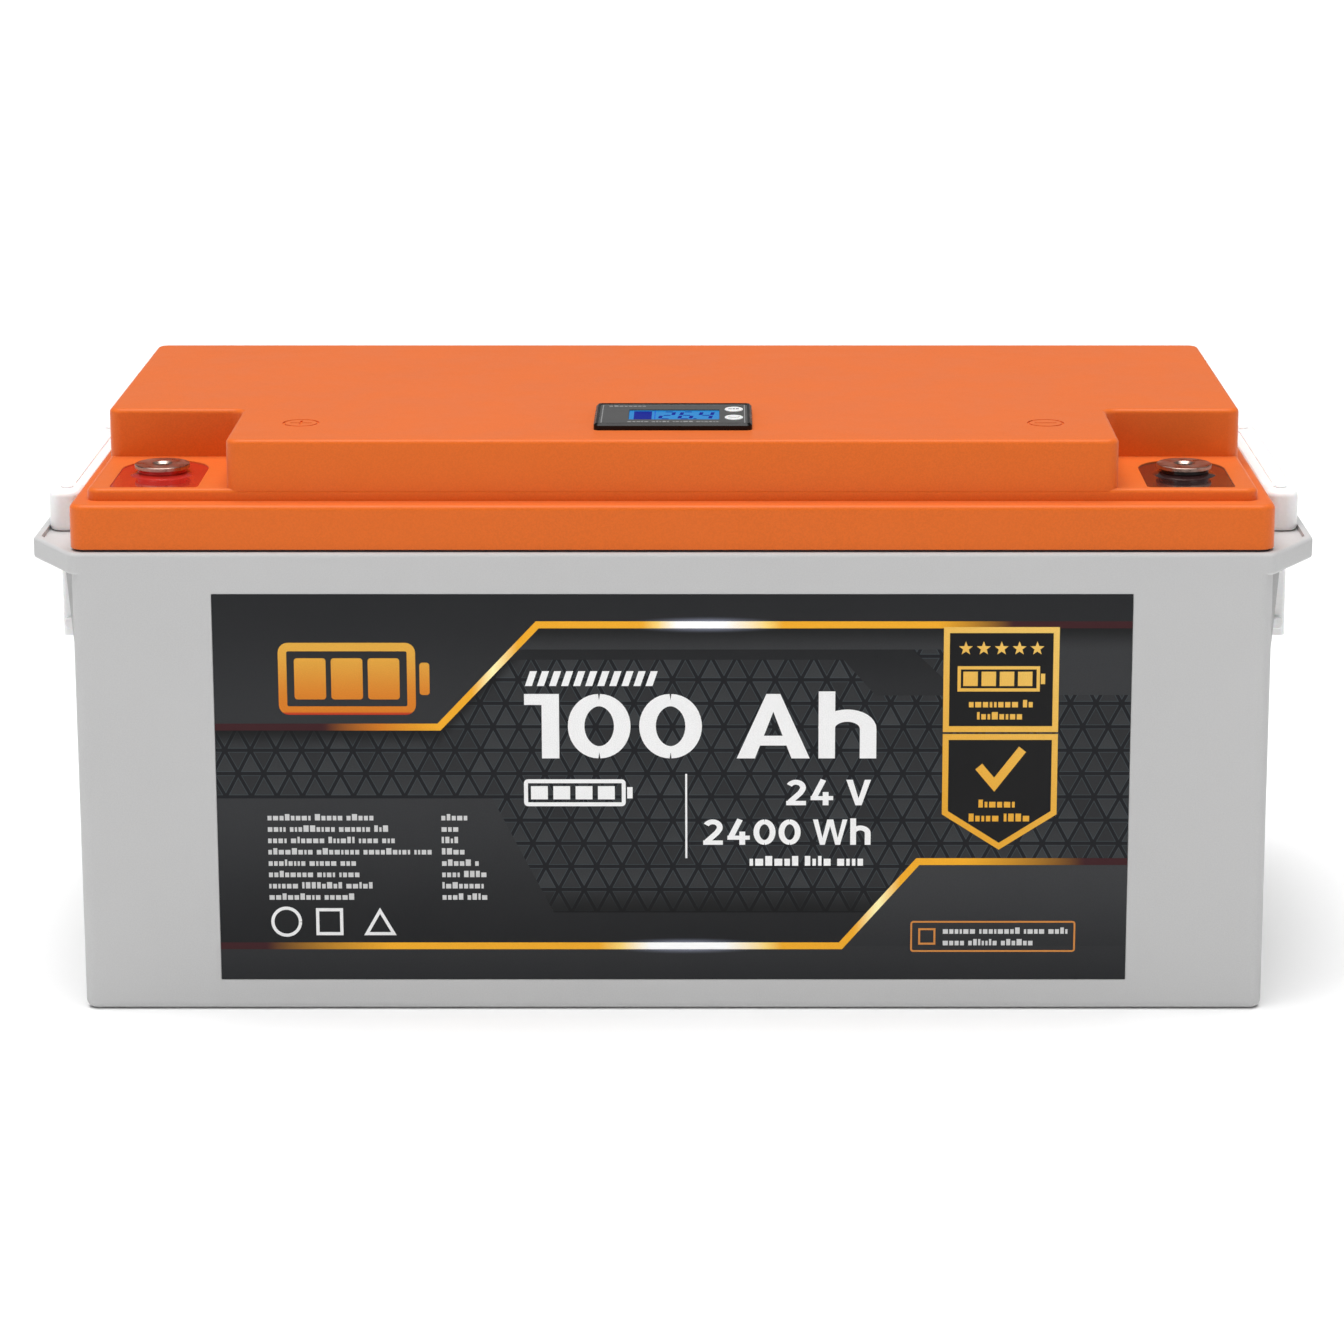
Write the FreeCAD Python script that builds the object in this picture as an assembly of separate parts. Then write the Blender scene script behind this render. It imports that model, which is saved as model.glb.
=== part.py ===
import FreeCAD, Part
import math
import os

# Deep cycle battery: eight lithium iron phosphate cells and their electronics in a moulded case.
# Millimetres. +Z is up, the label faces -Y, and the positive terminal is on the -X side.
# The origin is the centre of the footprint, on the surface that the battery stands on.

# ---- driving dimensions -------------------------------------------------------------------------
# Container
CASE_HALF_X = 240.0          # half length of the container's walls
CASE_HALF_Y = 120.0          # half width
CASE_HEIGHT = 191.0          # to the rim
CASE_WALL = 3.5
CASE_FLOOR = 4.0
CASE_CORNER = 5.0            # upright corner radius
FOOT_FILLET = 3.5            # round along the container's lower edge
CAVITY_CORNER = 3.0
CAVITY_FILLET = 2.0
RIM_FILLET = 1.6             # round on the rim's outer edge
FLANGE_ROOT = 20.0           # how far the flange is built inward past the end wall
FLANGE_CORNER = 5.0
FLANGE_TIP_X = 259.5         # the flange's outermost face
FLANGE_HALF_Y = 89.0         # half width of the flange's straight outer edge
FLANGE_THICK = 9.0
FLANGE_LIP = 3.2             # width of the raised border
FLANGE_RECESS = 2.0          # depth of the floor inside that border
GUSSET_DROP = 50.0           # how far the gussets run down the end wall
GUSSET_REACH = 4.0
GUSSET_THICK = 4.0
GUSSET_Y = (-104.0, -38.0, 38.0, 104.0)
SLOT_CORNER = 1.9

# Lid
SEAL_THICK = 0.9
SEAL_INSET = 1.0
SKIRT_HALF_X = 240.5
SKIRT_HALF_Y = 118.0
SKIRT_HEIGHT = 18.2
SKIRT_CORNER = 6.0
SKIRT_TOP_FILLET = 2.2
SKIRT_LOW_FILLET = 0.6
SHELF_INSET = 8.6            # from the skirt's front and back faces to the shelf's
SHELF_HALF_X = 234.3
SHELF_TOP = 215.0
SHELF_CORNER = 5.0
SHELF_FILLET = 1.8
LID_TOP = 235.0
LID_TOP_FILLET = 2.0
LID_WALL = 4.0
TONGUE_DROP = 6.0            # the lid's inner rim reaches this far into the container
TONGUE_PLAY = 0.3
LID_INNER_CORNER = 3.0
RECESS_INNER_X = 178.3       # the terminal recesses run from here to the lid's end
RECESS_BACK_Y = -44.6
RECESS_CORNER = 5.0
POLARITY_X = 151.5           # centre of the moulded plus and minus marks
POLARITY_Y = -74.0
POLARITY_RADIUS = 7.5
POLARITY_DEPTH = 0.5
POLARITY_LINE = 1.0          # width of the mark's ring and strokes
POLARITY_MARGIN = 3.0        # from the ring's outside to the strokes' ends

# Terminals
TERMINAL_X = 207.8
TERMINAL_Y = -77.5
POCKET_WIDTH = 35.4
POCKET_FRONT_Y = -106.0
POCKET_BACK_Y = -52.0
POCKET_DEPTH = 6.0
CUP_WALL = 3.0               # round the pocket, under the shelf
POTTING_GAP = 0.4            # the potting ends this far below the shelf
DISC_RADIUS = 11.2
DISC_TOP = 219.0
DISC_THICK = 1.5
DISC_FILLET = 0.4
COLLAR_RADIUS = 10.0
MENISCUS_RADIUS = 13.0       # where the potting starts to climb the collar
MENISCUS_RISE = 1.4
INSERT_RADIUS = 8.0
INSERT_BOTTOM = 193.0
FOOT_FLATS = 22.0            # hexagon foot of the insert, across flats
FOOT_HEIGHT = 5.0
LOW_THREAD_DEPTH = 6.0
THREAD_RADIUS = 3.4          # tapping size of M8
THREAD_DEPTH = 16.0
MOUTH_RADIUS = 4.4
MOUTH_DEPTH = 1.0
LUG_THICK = 3.0
LUG_RADIUS = 9.0
LUG_TAIL = 16.0
LUG_TAIL_WIDTH = 11.0
BOLT_FLATS = 13.0
BOLT_HEAD = 5.3

# Handles
BAR_INNER_X = 242.4
BAR_OUTER_X = 256.0
BAR_HALF_Y = 72.0
BAR_TOP = 206.0
BAR_CORNER = 5.2             # plan radius of the bar's ends
ARM_Y = 58.0
ARM_SIZE_X = 7.0
ARM_SIZE_Y = 11.0
ARM_PLAY = 0.4
ARM_CORNER = 1.5
ARM_TAIL = 6.0               # below the stop pin's axis
BAR_TOP_FILLET = 2.6
BAR_LOW_FILLET = 2.0
BAR_GAP = 0.2                # between the bar and the flange's floor
HANDLE_TRAVEL = 30.0
PIN_RADIUS = 2.5
PIN_LENGTH = 19.0
PIN_CHAMFER = 0.4
STOP_CLEARANCE = 0.1         # left above the pin at full lift
TROUGH_DEPTH = 0.6
TROUGH_HALF_X = 4.2
TROUGH_INSET = 15.0          # from the bar's ends to the trough's
PEG_RADIUS = 2.7             # moulding peg marks near the bar's ends
PEG_INSET = 9.5
PEG_DIMPLE = 0.8

# Meter
METER_Y = -67.5
BEZEL_X = 64.0
BEZEL_Y = 45.0
BEZEL_RISE = 2.8
BEZEL_NECK_X = 61.2
BEZEL_NECK_Y = 42.2
BEZEL_WALL = 1.2
BEZEL_DROP = 14.0
BEZEL_CHAMFER = 0.9
NECK_PLAY = 0.3
FACE_X = 60.4
FACE_Y = 41.4
FACE_TOP = 0.4               # below the bezel's top
FACE_THICK = 1.2
FACE_CORNER = 1.2
FACE_PLAY = 0.05
WINDOW_X = 37.0
WINDOW_Y = 21.0
WINDOW_CENTRE = (0.3, -68.4)
BUTTON_X = 24.7
BUTTON_Y = (-58.2, -75.6)    # rear, front
BUTTON_SIZE_X = 7.6
BUTTON_SIZE_Y = 9.4
BUTTON_TRAVEL = 0.8
BUTTON_PLAY = 0.15
BUTTON_FILLET = 0.3
BUTTON_SKIRT = 0.6           # width of the lip that keeps a button in
BUTTON_SKIRT_THICK = 1.2
SWITCH_GAP = 0.05            # left above a switch at full press

# Label
LABEL_HALF_X = 184.0
LABEL_LOW_Z = 13.0
LABEL_HIGH_Z = 174.3
LABEL_THICK = 0.2
LABEL_SEAT = 0.3             # depth of the shallow seat it lies in
LABEL_CORNER = 0.6
LABEL_MARGIN = 0.2           # from the label's edge to the seat's

# Cells and electronics
CELL_COUNT = 8
CELL_X = 50.0
CELL_Y = 160.0
CELL_Z = 118.0
CELL_POST_Y = 52.0
CELL_CORNER = 2.0
POST_PAD_HALF = 9.0
POST_RISE = 3.0
STUD_RADIUS = 3.0
STUD_RISE = 7.0              # above the busbars
BUSBAR_THICK = 2.0
NUT_FLATS = 10.0
NUT_HEIGHT = 5.0
SPACER = 1.2
PAD = 4.0
PLATE = 8.0
PLATE_CORNER = 3.0
BAND_THICK = 0.8
BAND_WIDTH = 16.0
BAND_Z = (45.0, 100.0)
SIDE_PAD_LIFT = 2.5          # above the container's floor
SIDE_PAD_DROP = 6.0          # below the cells' tops
TRAY_Z = 139.0
TRAY_THICK = 2.0
TRAY_LEG_RADIUS = 4.0
TRAY_LEG_Y = 26.0
SINK_THICK = 6.0
SINK_HALF = (78.0, 34.0)
SINK_GROOVES = 9
SINK_GROOVE_PITCH = 16.0
BOARD_CENTRE = (20.0, 10.0)
BOARD_THICK = 1.6
BOARD_HALF = (76.0, 32.0)
SCREW_PLACE = (72.0, 28.0)   # from the board's centre
SCREW_RADIUS = 1.5
SCREW_HEAD = (2.8, 2.0)      # radius, height
CHIP_PITCH = 14.0
CHIP_HALF = (5.0, 4.5)
CHIP_HEIGHT = 4.4
SOCKET_HEIGHT = 6.0
LEAD_RADIUS = 4.5
LEAD_BEND = 14.0
METER_CABLE_RADIUS = 1.8
METER_CABLE_BEND = 8.0
HARNESS_RADIUS = 2.5
HARNESS_BEND = 10.0

V = FreeCAD.Vector
PARTS = {}


# ---- helpers ------------------------------------------------------------------------------------
def block(x0, x1, y0, y1, z0, z1):
    return Part.makeBox(x1 - x0, y1 - y0, z1 - z0, V(x0, y0, z0))


def rod(radius, length, x, y, z, axis=V(0, 0, 1)):
    return Part.makeCylinder(radius, length, V(x, y, z), axis)


def rounded(half_x, half_y, z0, z1, radius, x=0.0, y=0.0):
    """A block with rounded upright corners, centred on x and y."""
    body = block(x - half_x, x + half_x, y - half_y, y + half_y, z0, z1)
    return body.makeFillet(radius, upright_edges(body))


def upright_edges(shape, keep=lambda x, y: True):
    """The straight upright edges whose place keep accepts."""
    found = []
    for edge in shape.Edges:
        box = edge.BoundBox
        if box.XLength < 0.01 and box.YLength < 0.01 and box.ZLength > 0.1:
            if keep(box.Center.x, box.Center.y):
                found.append(edge)
    return found


def level_edges(shape, z, keep=lambda box: True):
    """The edges that lie wholly at height z."""
    found = []
    for edge in shape.Edges:
        box = edge.BoundBox
        if abs(box.ZMin - z) < 0.01 and abs(box.ZMax - z) < 0.01 and keep(box):
            found.append(edge)
    return found


def prism(points, z0, z1):
    """An upright prism over a closed outline of x, y points."""
    corners = [V(x, y, z0) for x, y in points]
    outline = Part.makePolygon(corners + corners[:1])
    return Part.Face(outline).extrude(V(0, 0, z1 - z0))


def stadium(half_x, half_y, z0, z1, x, y):
    """A prism with semicircular ends, along its longer side."""
    radius = min(half_x, half_y) - 0.001
    return rounded(half_x, half_y, z0, z1, radius, x, y)


def mirrored_x(shape):
    return shape.mirror(V(0, 0, 0), V(1, 0, 0))


def turned(shape, degrees, x, y, z):
    copy = shape.copy()
    copy.rotate(V(x, y, z), V(0, 0, 1), degrees)
    return copy


def tube_along(points, radius, bend):
    """A round tube on straight runs joined by arcs of one bend radius."""
    corners = [V(*p) for p in points]
    edges = []
    start = corners[0]
    for i in range(1, len(corners) - 1):
        before = (corners[i] - corners[i - 1]).normalize()
        after = (corners[i + 1] - corners[i]).normalize()
        half_turn = before.getAngle(after) / 2
        cut = bend * math.tan(half_turn)
        arc_in = corners[i] - before * cut
        arc_out = corners[i] + after * cut
        inward = (after - before).normalize()
        centre = corners[i] + inward * (bend / math.cos(half_turn))
        middle = centre - inward * bend
        edges.append(Part.LineSegment(start, arc_in).toShape())
        edges.append(Part.Arc(arc_in, middle, arc_out).toShape())
        start = arc_out
    edges.append(Part.LineSegment(start, corners[-1]).toShape())
    path = Part.Wire(edges)
    direction = (corners[1] - corners[0]).normalize()
    ring = Part.Wire([Part.makeCircle(radius, corners[0], direction)])
    tube = path.makePipeShell([ring], True, False)
    expected = math.pi * radius**2 * path.Length
    if abs(tube.Volume / expected - 1) > 0.01:
        raise ValueError("tube volume is wrong")
    return tube


def hexagon(across_flats, z0, z1, x, y):
    radius = across_flats / math.sqrt(3)
    angles = [math.radians(60 * i) for i in range(6)]
    return prism([(x + radius * math.cos(a), y + radius * math.sin(a)) for a in angles], z0, z1)


def group(solids):
    return Part.makeCompound(list(solids))


# ---- container ----------------------------------------------------------------------------------
FLANGE_BOTTOM = CASE_HEIGHT - FLANGE_THICK
FLANGE_FLOOR = CASE_HEIGHT - FLANGE_RECESS
BAR_CENTRE_X = (BAR_INNER_X + BAR_OUTER_X) / 2


def flange_outline(inset, inner_x):
    """Plan of the right flange, drawn in from its outer edge by inset."""
    slant = math.atan2(FLANGE_TIP_X - CASE_HALF_X, CASE_HALF_Y - FLANGE_HALF_Y)
    tip_x = FLANGE_TIP_X - inset
    tip_y = FLANGE_HALF_Y - inset * math.tan(slant / 2)
    root_y = CASE_HALF_Y - inset / math.sin(slant) if inset else CASE_HALF_Y
    root_y += (CASE_HALF_X - inner_x) / math.tan(slant) if inset else 0.0
    return [(inner_x, -root_y), (tip_x, -tip_y), (tip_x, tip_y), (inner_x, root_y)]


def right_flange():
    plate = prism(flange_outline(0.0, CASE_HALF_X), FLANGE_BOTTOM, CASE_HEIGHT)
    root_x = CASE_HALF_X - FLANGE_ROOT
    root = block(root_x, CASE_HALF_X, -CASE_HALF_Y, CASE_HALF_Y, FLANGE_BOTTOM, CASE_HEIGHT)
    plate = plate.fuse(root)
    plate = plate.removeSplitter()
    tips = upright_edges(plate, lambda x, y: x > CASE_HALF_X + 1)
    plate = plate.makeFillet(FLANGE_CORNER, tips)
    roots = upright_edges(plate, lambda x, y: abs(x - CASE_HALF_X) < 1)
    plate = plate.makeFillet(CASE_CORNER, roots)
    low_rim = level_edges(plate, FLANGE_BOTTOM, lambda box: box.Center.x > CASE_HALF_X)
    plate = plate.makeFillet(RIM_FILLET, low_rim)
    high_rim = level_edges(plate, CASE_HEIGHT, lambda box: box.XMax > root_x + 1)
    plate = plate.makeFillet(RIM_FILLET, high_rim)
    floor_cut = prism(flange_outline(FLANGE_LIP, SKIRT_HALF_X + 0.3), FLANGE_FLOOR, CASE_HEIGHT + 1)
    outside = upright_edges(floor_cut, lambda x, y: x > SKIRT_HALF_X + 2)
    floor_cut = floor_cut.makeFillet(2.0, outside)
    return plate.cut(floor_cut)


def gusset(y):
    root_x = CASE_HALF_X - 1
    foot_z = FLANGE_BOTTOM - GUSSET_DROP
    side = [V(root_x, y, FLANGE_BOTTOM), V(CASE_HALF_X + GUSSET_REACH, y, FLANGE_BOTTOM)]
    side += [V(CASE_HALF_X, y, foot_z), V(root_x, y, foot_z)]
    face = Part.Face(Part.makePolygon(side + side[:1]))
    face.translate(V(0, -GUSSET_THICK / 2, 0))
    return face.extrude(V(0, GUSSET_THICK, 0))


def handle_slots():
    """The two openings in the right flange that the handle's arms slide in."""
    half_x = ARM_SIZE_X / 2 + ARM_PLAY
    half_y = ARM_SIZE_Y / 2 + ARM_PLAY
    for y in (-ARM_Y, ARM_Y):
        yield rounded(half_x, half_y, FLANGE_BOTTOM - 1, CASE_HEIGHT + 1, SLOT_CORNER, BAR_CENTRE_X, y)


def upright_sheet(margin, thick):
    """A sheet at the bottom of the label's seat, larger than the label by margin all round."""
    half_z = (LABEL_HIGH_Z - LABEL_LOW_Z) / 2
    sheet = rounded(LABEL_HALF_X + margin, half_z + margin, 0, thick, LABEL_CORNER)
    sheet.rotate(V(0, 0, 0), V(1, 0, 0), 90)
    sheet.translate(V(0, -CASE_HALF_Y + LABEL_SEAT, LABEL_LOW_Z + half_z))
    return sheet


def container():
    body = rounded(CASE_HALF_X, CASE_HALF_Y, 0, CASE_HEIGHT, CASE_CORNER)
    body = body.makeFillet(FOOT_FILLET, level_edges(body, 0))
    body = body.makeFillet(RIM_FILLET, level_edges(body, CASE_HEIGHT))
    end = right_flange()
    for y in GUSSET_Y:
        end = end.fuse(gusset(y))
    for slot in handle_slots():
        end = end.cut(slot)
    body = body.fuse([end, mirrored_x(end)])
    inner_x, inner_y = CASE_HALF_X - CASE_WALL, CASE_HALF_Y - CASE_WALL
    cavity = rounded(inner_x, inner_y, CASE_FLOOR, CASE_HEIGHT + 1, CAVITY_CORNER)
    cavity = cavity.makeFillet(CAVITY_FILLET, level_edges(cavity, CASE_FLOOR))
    body = body.cut(cavity)
    return body.cut(upright_sheet(LABEL_MARGIN, LABEL_SEAT))


def front_label():
    return upright_sheet(0.0, LABEL_THICK)


# ---- lid ----------------------------------------------------------------------------------------
LID_BOTTOM = CASE_HEIGHT + SEAL_THICK
SKIRT_TOP = LID_BOTTOM + SKIRT_HEIGHT
SHELF_HALF_Y = SKIRT_HALF_Y - SHELF_INSET
POCKET_FLOOR = SHELF_TOP - POCKET_DEPTH
TERMINALS = {"positive": -TERMINAL_X, "negative": TERMINAL_X}


def block_outline(inset):
    """The raised block's plan: the shelf's rectangle less the two front corners."""
    x, y = SHELF_HALF_X - inset, SHELF_HALF_Y - inset
    nose = RECESS_INNER_X - inset
    back = RECESS_BACK_Y + inset
    right = [(nose, -y), (nose, back), (x, back), (x, y)]
    left = [(-px, py) for px, py in reversed(right)]
    return right + left


def raised_block():
    body = prism(block_outline(0.0), SHELF_TOP - 1, LID_TOP)
    body = body.makeFillet(RECESS_CORNER, upright_edges(body))
    return body.makeFillet(LID_TOP_FILLET, level_edges(body, LID_TOP))


def pocket(x, z0, z1, inset=0.0):
    """A terminal pocket: straight front, and a back that is all but semicircular."""
    half = POCKET_WIDTH / 2 - inset
    front, back = POCKET_FRONT_Y + inset, POCKET_BACK_Y - inset
    body = block(x - half, x + half, front, back, z0, z1)
    body = body.makeFillet(half - 0.1, upright_edges(body, lambda ex, ey: ey > TERMINAL_Y))
    return body.makeFillet(2.0, upright_edges(body, lambda ex, ey: ey < TERMINAL_Y - 20))


def polarity_mark(x, plus):
    """A shallow ring with a minus or plus sign in it, cut into the block's top."""
    z0, z1 = LID_TOP - POLARITY_DEPTH, LID_TOP + 1
    ring = rod(POLARITY_RADIUS, z1 - z0, x, POLARITY_Y, z0)
    ring = ring.cut(rod(POLARITY_RADIUS - POLARITY_LINE, z1 - z0, x, POLARITY_Y, z0))
    arm, half = POLARITY_RADIUS - POLARITY_MARGIN, POLARITY_LINE / 2
    strokes = [block(x - arm, x + arm, POLARITY_Y - half, POLARITY_Y + half, z0, z1)]
    if plus:
        strokes.append(block(x - half, x + half, POLARITY_Y - arm, POLARITY_Y + arm, z0, z1))
    return ring.fuse(strokes)


def lid():
    skirt = rounded(SKIRT_HALF_X, SKIRT_HALF_Y, LID_BOTTOM, SKIRT_TOP, SKIRT_CORNER)
    skirt = skirt.makeFillet(SKIRT_TOP_FILLET, level_edges(skirt, SKIRT_TOP))
    skirt = skirt.makeFillet(SKIRT_LOW_FILLET, level_edges(skirt, LID_BOTTOM))
    shelf = rounded(SHELF_HALF_X, SHELF_HALF_Y, SKIRT_TOP - 1, SHELF_TOP, SHELF_CORNER)
    shelf = shelf.makeFillet(SHELF_FILLET, level_edges(shelf, SHELF_TOP))
    body = skirt.fuse([shelf, raised_block()])
    reach = CASE_WALL + TONGUE_PLAY
    tongue_bottom = LID_BOTTOM - TONGUE_DROP
    tongue_corner = CAVITY_CORNER - TONGUE_PLAY
    tongue = rounded(CASE_HALF_X - reach, CASE_HALF_Y - reach, tongue_bottom, LID_BOTTOM + 1, tongue_corner)
    body = body.fuse(tongue)
    inner_x, inner_y = SHELF_HALF_X - LID_WALL, SHELF_HALF_Y - LID_WALL
    under_shelf = rounded(inner_x, inner_y, tongue_bottom - 1, SHELF_TOP - LID_WALL, LID_INNER_CORNER)
    under_block = prism(block_outline(LID_WALL), SHELF_TOP - LID_WALL - 1, LID_TOP - LID_WALL)
    body = body.cut([under_shelf, under_block])
    for name, x in TERMINALS.items():
        cup = pocket(x, POCKET_FLOOR - LID_WALL, SHELF_TOP - LID_WALL, -CUP_WALL)
        body = body.fuse(cup)
        body = body.cut(pocket(x, POCKET_FLOOR, SHELF_TOP + 1))
        body = body.cut(rod(INSERT_RADIUS, 30, x, TERMINAL_Y, POCKET_FLOOR - 10))
        body = body.cut(polarity_mark(math.copysign(POLARITY_X, x), name == "positive"))
    half_x, half_y = BEZEL_NECK_X / 2 + NECK_PLAY, BEZEL_NECK_Y / 2 + NECK_PLAY
    neck = rounded(half_x, half_y, LID_TOP - 2 * LID_WALL, LID_TOP + 1, 2.0, 0, METER_Y)
    return body.cut(neck).removeSplitter()


def lid_seal():
    ring = rounded(CASE_HALF_X - SEAL_INSET, SKIRT_HALF_Y - SEAL_INSET, CASE_HEIGHT, LID_BOTTOM, 4.5)
    inner_x, inner_y = CASE_HALF_X - CASE_WALL, CASE_HALF_Y - CASE_WALL
    return ring.cut(rounded(inner_x, inner_y, CASE_HEIGHT - 1, LID_BOTTOM + 1, CAVITY_CORNER))


# ---- terminals ----------------------------------------------------------------------------------
def terminal(x):
    """A brass insert: disc top, plain barrel, hexagon foot, and a threaded hole from each end."""
    disc_bottom = DISC_TOP - DISC_THICK
    disc = rod(DISC_RADIUS, DISC_THICK, x, TERMINAL_Y, disc_bottom)
    disc = disc.makeFillet(DISC_FILLET, level_edges(disc, DISC_TOP))
    barrel = rod(INSERT_RADIUS, disc_bottom - INSERT_BOTTOM, x, TERMINAL_Y, INSERT_BOTTOM)
    foot = hexagon(FOOT_FLATS, INSERT_BOTTOM, INSERT_BOTTOM + FOOT_HEIGHT, x, TERMINAL_Y)
    body = disc.fuse([barrel, foot])
    mouth_low = V(x, TERMINAL_Y, DISC_TOP - MOUTH_DEPTH)
    body = body.cut(rod(THREAD_RADIUS, THREAD_DEPTH + 2, x, TERMINAL_Y, mouth_low.z - THREAD_DEPTH))
    mouth = Part.makeCone(THREAD_RADIUS, MOUTH_RADIUS, MOUTH_DEPTH, mouth_low, V(0, 0, 1))
    body = body.cut(mouth)
    return body.cut(rod(THREAD_RADIUS, LOW_THREAD_DEPTH, x, TERMINAL_Y, INSERT_BOTTOM))


def terminal_collar(x):
    z0, z1 = SHELF_TOP - POTTING_GAP, DISC_TOP - DISC_THICK
    ring = rod(COLLAR_RADIUS, z1 - z0, x, TERMINAL_Y, z0)
    return ring.cut(rod(INSERT_RADIUS, z1 - z0, x, TERMINAL_Y, z0))


def terminal_potting(x):
    top = SHELF_TOP - POTTING_GAP
    fill = pocket(x, POCKET_FLOOR, top)
    slope = Part.makeCone(MENISCUS_RADIUS, COLLAR_RADIUS, MENISCUS_RISE, V(x, TERMINAL_Y, top), V(0, 0, 1))
    fill = fill.fuse(slope).cut(rod(COLLAR_RADIUS, MENISCUS_RISE + 1, x, TERMINAL_Y, top))
    return fill.cut(rod(INSERT_RADIUS, POCKET_DEPTH + 2, x, TERMINAL_Y, POCKET_FLOOR - 1))


def lug_bolts():
    """One bolt under each terminal, which clamps the lead's ring lug to it."""
    bolts = []
    for x in TERMINALS.values():
        lug_bottom = INSERT_BOTTOM - LUG_THICK
        head = hexagon(BOLT_FLATS, lug_bottom - BOLT_HEAD, lug_bottom, x, TERMINAL_Y)
        shank = rod(THREAD_RADIUS, LUG_THICK + LOW_THREAD_DEPTH - 0.5, x, TERMINAL_Y, lug_bottom - 0.5)
        bolts.append(head.fuse(shank))
    return group(bolts)


# ---- handles ------------------------------------------------------------------------------------
PIN_Z = FLANGE_BOTTOM - STOP_CLEARANCE - HANDLE_TRAVEL - PIN_RADIUS


def right_handle():
    """A bail: a rounded bar that lies on the flange, and two arms down through its slots."""
    half_x = (BAR_OUTER_X - BAR_INNER_X) / 2
    bar_bottom = FLANGE_FLOOR + BAR_GAP
    bar = rounded(half_x, BAR_HALF_Y, bar_bottom, BAR_TOP, BAR_CORNER, BAR_CENTRE_X, 0)
    bar = bar.makeFillet(BAR_TOP_FILLET, level_edges(bar, BAR_TOP))
    bar = bar.makeFillet(BAR_LOW_FILLET, level_edges(bar, bar_bottom))
    trough_low, trough_x = BAR_TOP - TROUGH_DEPTH, BAR_INNER_X + 0.6
    trough = stadium(TROUGH_HALF_X, BAR_HALF_Y - TROUGH_INSET, trough_low, BAR_TOP + 1, trough_x, 0)
    bar = bar.cut(trough)
    for side in (-1, 1):
        arm = block(BAR_CENTRE_X - ARM_SIZE_X / 2, BAR_CENTRE_X + ARM_SIZE_X / 2,
                    side * ARM_Y - ARM_SIZE_Y / 2, side * ARM_Y + ARM_SIZE_Y / 2,
                    PIN_Z - ARM_TAIL, FLANGE_FLOOR + 2.0)
        arm = arm.makeFillet(ARM_CORNER, upright_edges(arm))
        peg_y = side * (BAR_HALF_Y - PEG_INSET)
        dimple = rod(PEG_RADIUS, 2.0, BAR_CENTRE_X, peg_y, BAR_TOP - PEG_DIMPLE)
        peg = rod(PEG_RADIUS - 0.7, 1.3, BAR_CENTRE_X + 0.3, peg_y, BAR_TOP - PEG_DIMPLE - 0.3)
        bar = bar.fuse(arm).cut([dimple, stop_pin(side)]).fuse(peg)
    return bar


def stop_pin(side):
    """The cross pin through one arm, which meets the flange's underside at full lift."""
    return rod(PIN_RADIUS, PIN_LENGTH, BAR_CENTRE_X, side * ARM_Y - PIN_LENGTH / 2, PIN_Z, V(0, 1, 0))


def right_stop_pins():
    pins = [stop_pin(side) for side in (-1, 1)]
    return group(pin.makeChamfer(PIN_CHAMFER, [pin.Edges[0], pin.Edges[2]]) for pin in pins)


# ---- meter --------------------------------------------------------------------------------------
BEZEL_TOP = LID_TOP + BEZEL_RISE
FACE_HIGH = BEZEL_TOP - FACE_TOP
FACE_LOW = FACE_HIGH - FACE_THICK
HOUSING_BOTTOM = LID_TOP - BEZEL_DROP
NECK_INNER_X = BEZEL_NECK_X / 2 - BEZEL_WALL
NECK_INNER_Y = BEZEL_NECK_Y / 2 - BEZEL_WALL
METER_BOARD_Z = LID_TOP - 8.0
BUTTON_LOW = LID_TOP - 2.0


def meter_bezel():
    rim = rounded(BEZEL_X / 2, BEZEL_Y / 2, LID_TOP, BEZEL_TOP, 2.5, 0, METER_Y)
    rim = rim.makeChamfer(BEZEL_CHAMFER, level_edges(rim, BEZEL_TOP))
    neck = rounded(BEZEL_NECK_X / 2, BEZEL_NECK_Y / 2, HOUSING_BOTTOM, LID_TOP, 1.8, 0, METER_Y)
    body = rim.fuse(neck)
    half_x, half_y = FACE_X / 2 + FACE_PLAY, FACE_Y / 2 + FACE_PLAY
    seat = rounded(half_x, half_y, FACE_LOW, BEZEL_TOP + 1, FACE_CORNER, 0, METER_Y)
    bore = rounded(NECK_INNER_X, NECK_INNER_Y, HOUSING_BOTTOM - 1, BEZEL_TOP, 1.0, 0, METER_Y)
    return body.cut([seat, bore])


def meter_faceplate():
    plate = rounded(FACE_X / 2, FACE_Y / 2, FACE_LOW, FACE_HIGH, FACE_CORNER, 0, METER_Y)
    window = rounded(WINDOW_X / 2, WINDOW_Y / 2, FACE_LOW - 1, FACE_HIGH + 1, 0.5, *WINDOW_CENTRE)
    plate = plate.cut(window)
    for y in BUTTON_Y:
        plate = plate.cut(button_prism(y, FACE_LOW - 1, FACE_HIGH + 1, BUTTON_PLAY))
    return plate


def button_prism(y, z0, z1, grow=0.0):
    """The buttons' oval outline."""
    long_radius = BUTTON_SIZE_Y / 2 + grow
    short_radius = BUTTON_SIZE_X / 2 + grow
    oval = Part.Ellipse(V(BUTTON_X, y, z0), long_radius, short_radius)
    edge = oval.toShape()
    edge.rotate(V(BUTTON_X, y, z0), V(0, 0, 1), 90)
    return Part.Face(Part.Wire([edge])).extrude(V(0, 0, z1 - z0))


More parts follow.
